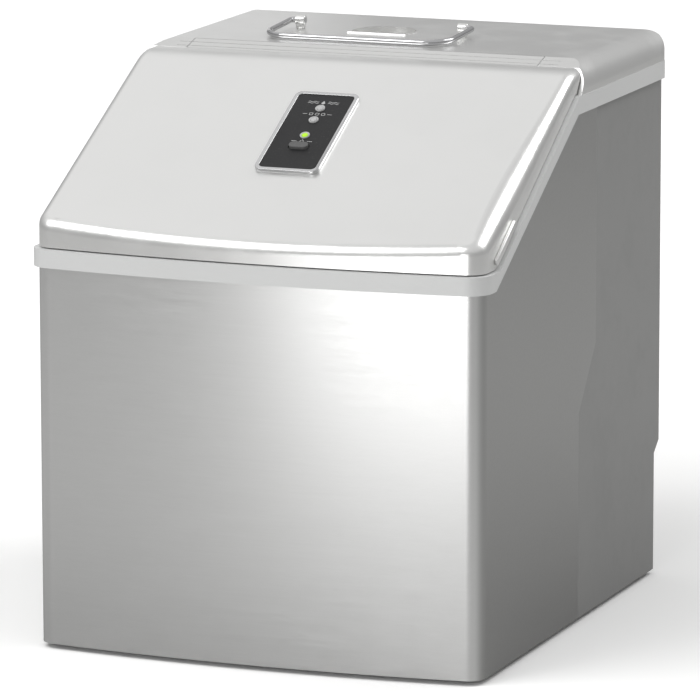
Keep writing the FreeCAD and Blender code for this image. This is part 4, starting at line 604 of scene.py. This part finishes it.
def makeButton(setup):
    # a round cap is pulled out to an oval, then its top is stepped in and rounded
    radius = setup["wide"] / 2
    bpy.ops.mesh.primitive_cylinder_add(vertices=64, radius=radius, depth=setup["rise"] * 2)
    button = bpy.context.object
    shift = (setup["long"] - setup["wide"]) / 2
    for side in (-1, 1):
        bpy.ops.object.mode_set(mode="EDIT")
        bpy.ops.mesh.select_mode(type="VERT")
        bpy.ops.mesh.select_all(action="DESELECT")
        bpy.ops.object.mode_set(mode="OBJECT")
        for corner in button.data.vertices:
            corner.select = corner.co.x * side > 0.00005
        bpy.ops.object.mode_set(mode="EDIT")
        bpy.ops.transform.translate(value=(side * shift, 0.0, 0.0))
        bpy.ops.object.mode_set(mode="OBJECT")
    pickFaces(button, faceUp)
    bpy.ops.mesh.inset(thickness=setup["rimIn"])
    bpy.ops.transform.translate(value=(0.0, 0.0, setup["rimUp"]))
    bpy.ops.mesh.inset(thickness=setup["dishIn"])
    bpy.ops.transform.translate(value=(0.0, 0.0, -setup["dishDown"]))
    bpy.ops.object.mode_set(mode="OBJECT")
    softenEdges(button, setup["edge"], 4, 25.0)
    button.name = "powerCap"
    layOnPanel(button, 0.0, panelSetup["buttonDown"])
    dress(button, "button", "buttonCap", "button_grey", "power_button")


makeButton(buttonSetup)
print("panel: power button")


printSetup = {
    "thick": 0.00012,
    "line": 0.0005,
    "waterDown": -0.0378,
    "waveSide": 0.0080,
    "waveLong": 0.0085,
    "waveApart": 0.0009,
    "waveHigh": 0.00045,
    "dropRadius": 0.00145,
    "iceDown": -0.0229,
    "cubeSize": 0.0030,
    "cubes": ((-0.0048, 0.12), (0.0, -0.2), (0.0048, 0.3)),  # across, turn
    "iceBarSide": 0.0098,
    "iceBarLong": 0.0036,
    "powerDown": 0.0122,
    "powerRadius": 0.0015,
    "stemDown": -0.0011,
    "stemLong": 0.0014,
    "powerBarSide": 0.0062,
    "powerBarLong": 0.0042,
    "tickDown": 0.0096,
    "tickLong": 0.0012,
}


def makeBar(across, down, long, wide, turn=0.0):
    bpy.ops.mesh.primitive_plane_add(size=1.0, location=(across, -down, 0.0), rotation=(0.0, 0.0, turn))
    bar = bpy.context.object
    bar.scale = (long, wide, 1.0)
    fixPlace(bar)
    bpy.ops.object.mode_set(mode="EDIT")
    bpy.ops.mesh.select_all(action="SELECT")
    bpy.ops.mesh.bevel(offset=wide * 0.45, segments=4, affect="VERTICES")
    bpy.ops.object.mode_set(mode="OBJECT")
    return bar


def makeWave(across, down, long):
    bpy.ops.mesh.primitive_grid_add(x_subdivisions=28, y_subdivisions=1, size=1.0)
    wave = bpy.context.object
    wave.scale = (long, printSetup["line"], 1.0)
    fixPlace(wave)
    for corner in wave.data.vertices:
        corner.co.y += printSetup["waveHigh"] * math.sin(corner.co.x / long * math.tau * 2)
    wave.location = (across, -down, 0.0)
    fixPlace(wave)
    return wave


def makeDrop(radius):
    bpy.ops.mesh.primitive_circle_add(vertices=36, radius=radius, fill_type="NGON")
    drop = bpy.context.object
    for corner in drop.data.vertices:
        high = max(corner.co.y / radius, 0.0)
        corner.co.x *= 1.0 - 0.55 * high ** 2
        corner.co.y += radius * 0.85 * high ** 3
    drop.location = (0.0, -radius * 0.4, 0.0)
    fixPlace(drop)
    return drop


def makeCubeMark(across, size, turn):
    # outline of an ice cube with a softened corner
    bpy.ops.mesh.primitive_plane_add(size=size, location=(across, 0.0, 0.0), rotation=(0.0, 0.0, turn))
    cube = bpy.context.object
    fixPlace(cube)
    bpy.ops.object.mode_set(mode="EDIT")
    bpy.ops.mesh.select_all(action="SELECT")
    bpy.ops.mesh.bevel(offset=size * 0.18, segments=4, affect="VERTICES")
    bpy.ops.mesh.select_all(action="SELECT")
    bpy.ops.mesh.inset(thickness=printSetup["line"] * 0.9)
    bpy.ops.mesh.delete(type="FACE")
    bpy.ops.object.mode_set(mode="OBJECT")
    return cube


def makePowerMark(radius):
    bpy.ops.mesh.primitive_circle_add(vertices=44, radius=radius, fill_type="NOTHING")
    ring = bpy.context.object
    bpy.ops.object.mode_set(mode="EDIT")
    bpy.ops.mesh.select_all(action="SELECT")
    bpy.ops.mesh.extrude_edges_move()
    bpy.ops.transform.resize(value=(0.74, 0.74, 1.0))
    bpy.ops.object.mode_set(mode="OBJECT")
    pickFaces(ring, lambda face: face.center.y > 0.75 * radius)
    bpy.ops.mesh.delete(type="FACE")
    bpy.ops.mesh.select_all(action="SELECT")
    bpy.ops.mesh.normals_make_consistent(inside=False)
    bpy.ops.object.mode_set(mode="OBJECT")
    return ring


def layPrint(name, down, parts):
    mark = joinPieces(name, parts)
    if mark.data.polygons[0].normal.z < 0.0:
        pickFaces(mark, lambda face: True)
        bpy.ops.mesh.flip_normals()
        bpy.ops.object.mode_set(mode="OBJECT")
    thicken(mark, printSetup["thick"])
    layOnPanel(mark, 0.0, down)
    dress(mark, "lid", "paleInk", "lamp_grey")


def makePrints(setup):
    line = setup["line"]
    gap, long = setup["waveApart"], setup["waveLong"]
    waves = [makeWave(side * setup["waveSide"], down, long) for side in (-1, 1) for down in (-gap, gap)]
    layPrint("waterMark", setup["waterDown"], [makeDrop(setup["dropRadius"]), *waves])
    cubes = [makeCubeMark(across, setup["cubeSize"], turn) for across, turn in setup["cubes"]]
    bars = [makeBar(side * setup["iceBarSide"], 0.0, setup["iceBarLong"], line) for side in (-1, 1)]
    layPrint("iceMark", setup["iceDown"], [*cubes, *bars])
    stem = makeBar(0.0, setup["stemDown"], setup["stemLong"], line, math.pi / 2)
    sides = [makeBar(side * setup["powerBarSide"], 0.0, setup["powerBarLong"], line) for side in (-1, 1)]
    layPrint("powerMark", setup["powerDown"], [makePowerMark(setup["powerRadius"]), stem, *sides])
    layPrint("lampTick", setup["tickDown"], [makeBar(0.0, 0.0, setup["tickLong"], line * 0.8, math.pi / 2)])


makePrints(printSetup)
print("panel: pictograms")


# moulded and pressed pieces whose machined edges are softened
softSetup = {
    # node: (new name, radius, steps, body, finish, slot)
    "lid_pulls": ("sidePulls", 0.0009, 3, "lid", "silverLid", "silver_plastic"),
    "panel_bezel": ("panelFrame", 0.00025, 2, "lid", "frameSilver", "bright_chrome"),
    "rubber_feet": ("softFeet", 0.0012, 3, "cabinet", "blackRubber", "black_rubber"),
    "drain_cap": ("drainPlugCap", 0.0005, 2, "drain_plug", "whiteLiner", "white_plastic"),
    "power_inlet": ("inletBody", 0.0004, 2, "cabinet", "blackPlastic", "black_plastic"),
    "tray_motor": ("trayGearbox", 0.0012, 3, "cabinet", "zinc", "zinc_steel"),
    "water_pump": ("pumpBody", 0.0010, 3, "cabinet", "blackPlastic", "black_plastic"),
    "control_box": ("controlHousing", 0.0010, 2, "cabinet", "blackPlastic", "black_plastic"),
    "terminal_cover": ("terminalCap", 0.0010, 3, "cabinet", "blackPlastic", "black_plastic"),
}


def copyMesh(node, name):
    piece = bpy.data.objects.new(name, cad[node].data.copy())
    bpy.context.scene.collection.objects.link(piece)
    onlyThis(piece)
    bpy.ops.object.mode_set(mode="EDIT")
    bpy.ops.mesh.select_mode(type="VERT")
    bpy.ops.mesh.select_all(action="SELECT")
    bpy.ops.mesh.remove_doubles(threshold=0.00001)
    bpy.ops.mesh.dissolve_limited(angle_limit=math.radians(0.6))
    bpy.ops.object.mode_set(mode="OBJECT")
    return piece


def makeSoftPieces(setup):
    for node, (name, radius, steps, body, finish, slot) in setup.items():
        piece = copyMesh(node, name)
        softenEdges(piece, radius, steps)
        dress(piece, body, finish, slot, node)


makeSoftPieces(softSetup)
print("softened:", len(softSetup), "moulded pieces")


lugSetup = {
    "radius": 0.0038,
    "long": 0.008,
    "endRim": 0.0007,
    "foot": 0.0050,
    "footShare": 0.8,  # of the barrel's length
    "rounding": 0.0008,
}


def makeLugs(setup):
    # a short barrel round each end of the wire, on a low foot
    low, high = (Vector(corner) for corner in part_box("handle_brackets"))
    pivot = next(joint["pos_m"] for joint in frame["joints"] if joint["name"] == "handle_swing")
    long = setup["long"]
    lugs = []
    for x in (low.x + long / 2, high.x - long / 2):
        bpy.ops.mesh.primitive_cylinder_add(vertices=48, radius=setup["radius"], depth=long,
                                            location=(x, pivot[1], pivot[2]), rotation=(0.0, math.pi / 2, 0.0))
        barrel = bpy.context.object
        fixPlace(barrel)
        pickFaces(barrel, lambda face: abs(face.normal.x) > 0.9)
        bpy.ops.mesh.inset(thickness=setup["endRim"], use_individual=True)
        bpy.ops.object.mode_set(mode="OBJECT")
        softenEdges(barrel, setup["rounding"], 3, 50.0)
        bpy.ops.mesh.primitive_cube_add(size=1.0, location=(x, pivot[1], (low.z + pivot[2]) / 2))
        foot = bpy.context.object
        foot.scale = (long * setup["footShare"], setup["foot"], pivot[2] - low.z)
        fixPlace(foot)
        softenEdges(foot, setup["rounding"], 3)
        lugs += [barrel, foot]
    lugs = joinPieces("handleLugs", lugs)
    dress(lugs, "cabinet", "silverLid", "bright_chrome", "handle_brackets")


makeLugs(lugSetup)
print("handle: two lugs")


screwSetup = {
    "long": 0.0042,
    "recess": 0.0011,
    "deep": 0.0009,
}


def makeScrews(setup):
    # each pressed head gets a cross recess, cut with two thin bars
    screws = copyMesh("shell_screws", "crossScrews")
    bpy.ops.object.mode_set(mode="EDIT")
    bpy.ops.mesh.separate(type="LOOSE")
    bpy.ops.object.mode_set(mode="OBJECT")
    heads = list(bpy.context.selected_objects)
    cutters = []
    for head in heads:
        corners = [corner.co for corner in head.data.vertices]
        low = Vector(min(corner[way] for corner in corners) for way in range(3))
        high = Vector(max(corner[way] for corner in corners) for way in range(3))
        middle = (low + high) / 2
        for turn in (0.0, math.pi / 2):
            bpy.ops.mesh.primitive_cube_add(size=1.0, location=(middle.x, high.y, middle.z),
                                            rotation=(0.0, turn, 0.0))
            bar = bpy.context.object
            bar.scale = (setup["long"], setup["deep"] * 2, setup["recess"])
            fixPlace(bar)
            cutters.append(bar)
    bars = joinPieces("recessBars", cutters)
    screws = joinPieces("crossScrews", heads)
    onlyThis(screws)
    recess = screws.modifiers.new("recess", "BOOLEAN")
    recess.operation = "DIFFERENCE"
    recess.solver = "EXACT"
    recess.use_self = True
    recess.object = bars
    bpy.ops.object.modifier_apply(modifier=recess.name)
    bpy.data.objects.remove(bars)
    dress(screws, "cabinet", "zinc", "zinc_steel", "shell_screws")


makeScrews(screwSetup)
print("screws: cross recesses cut")
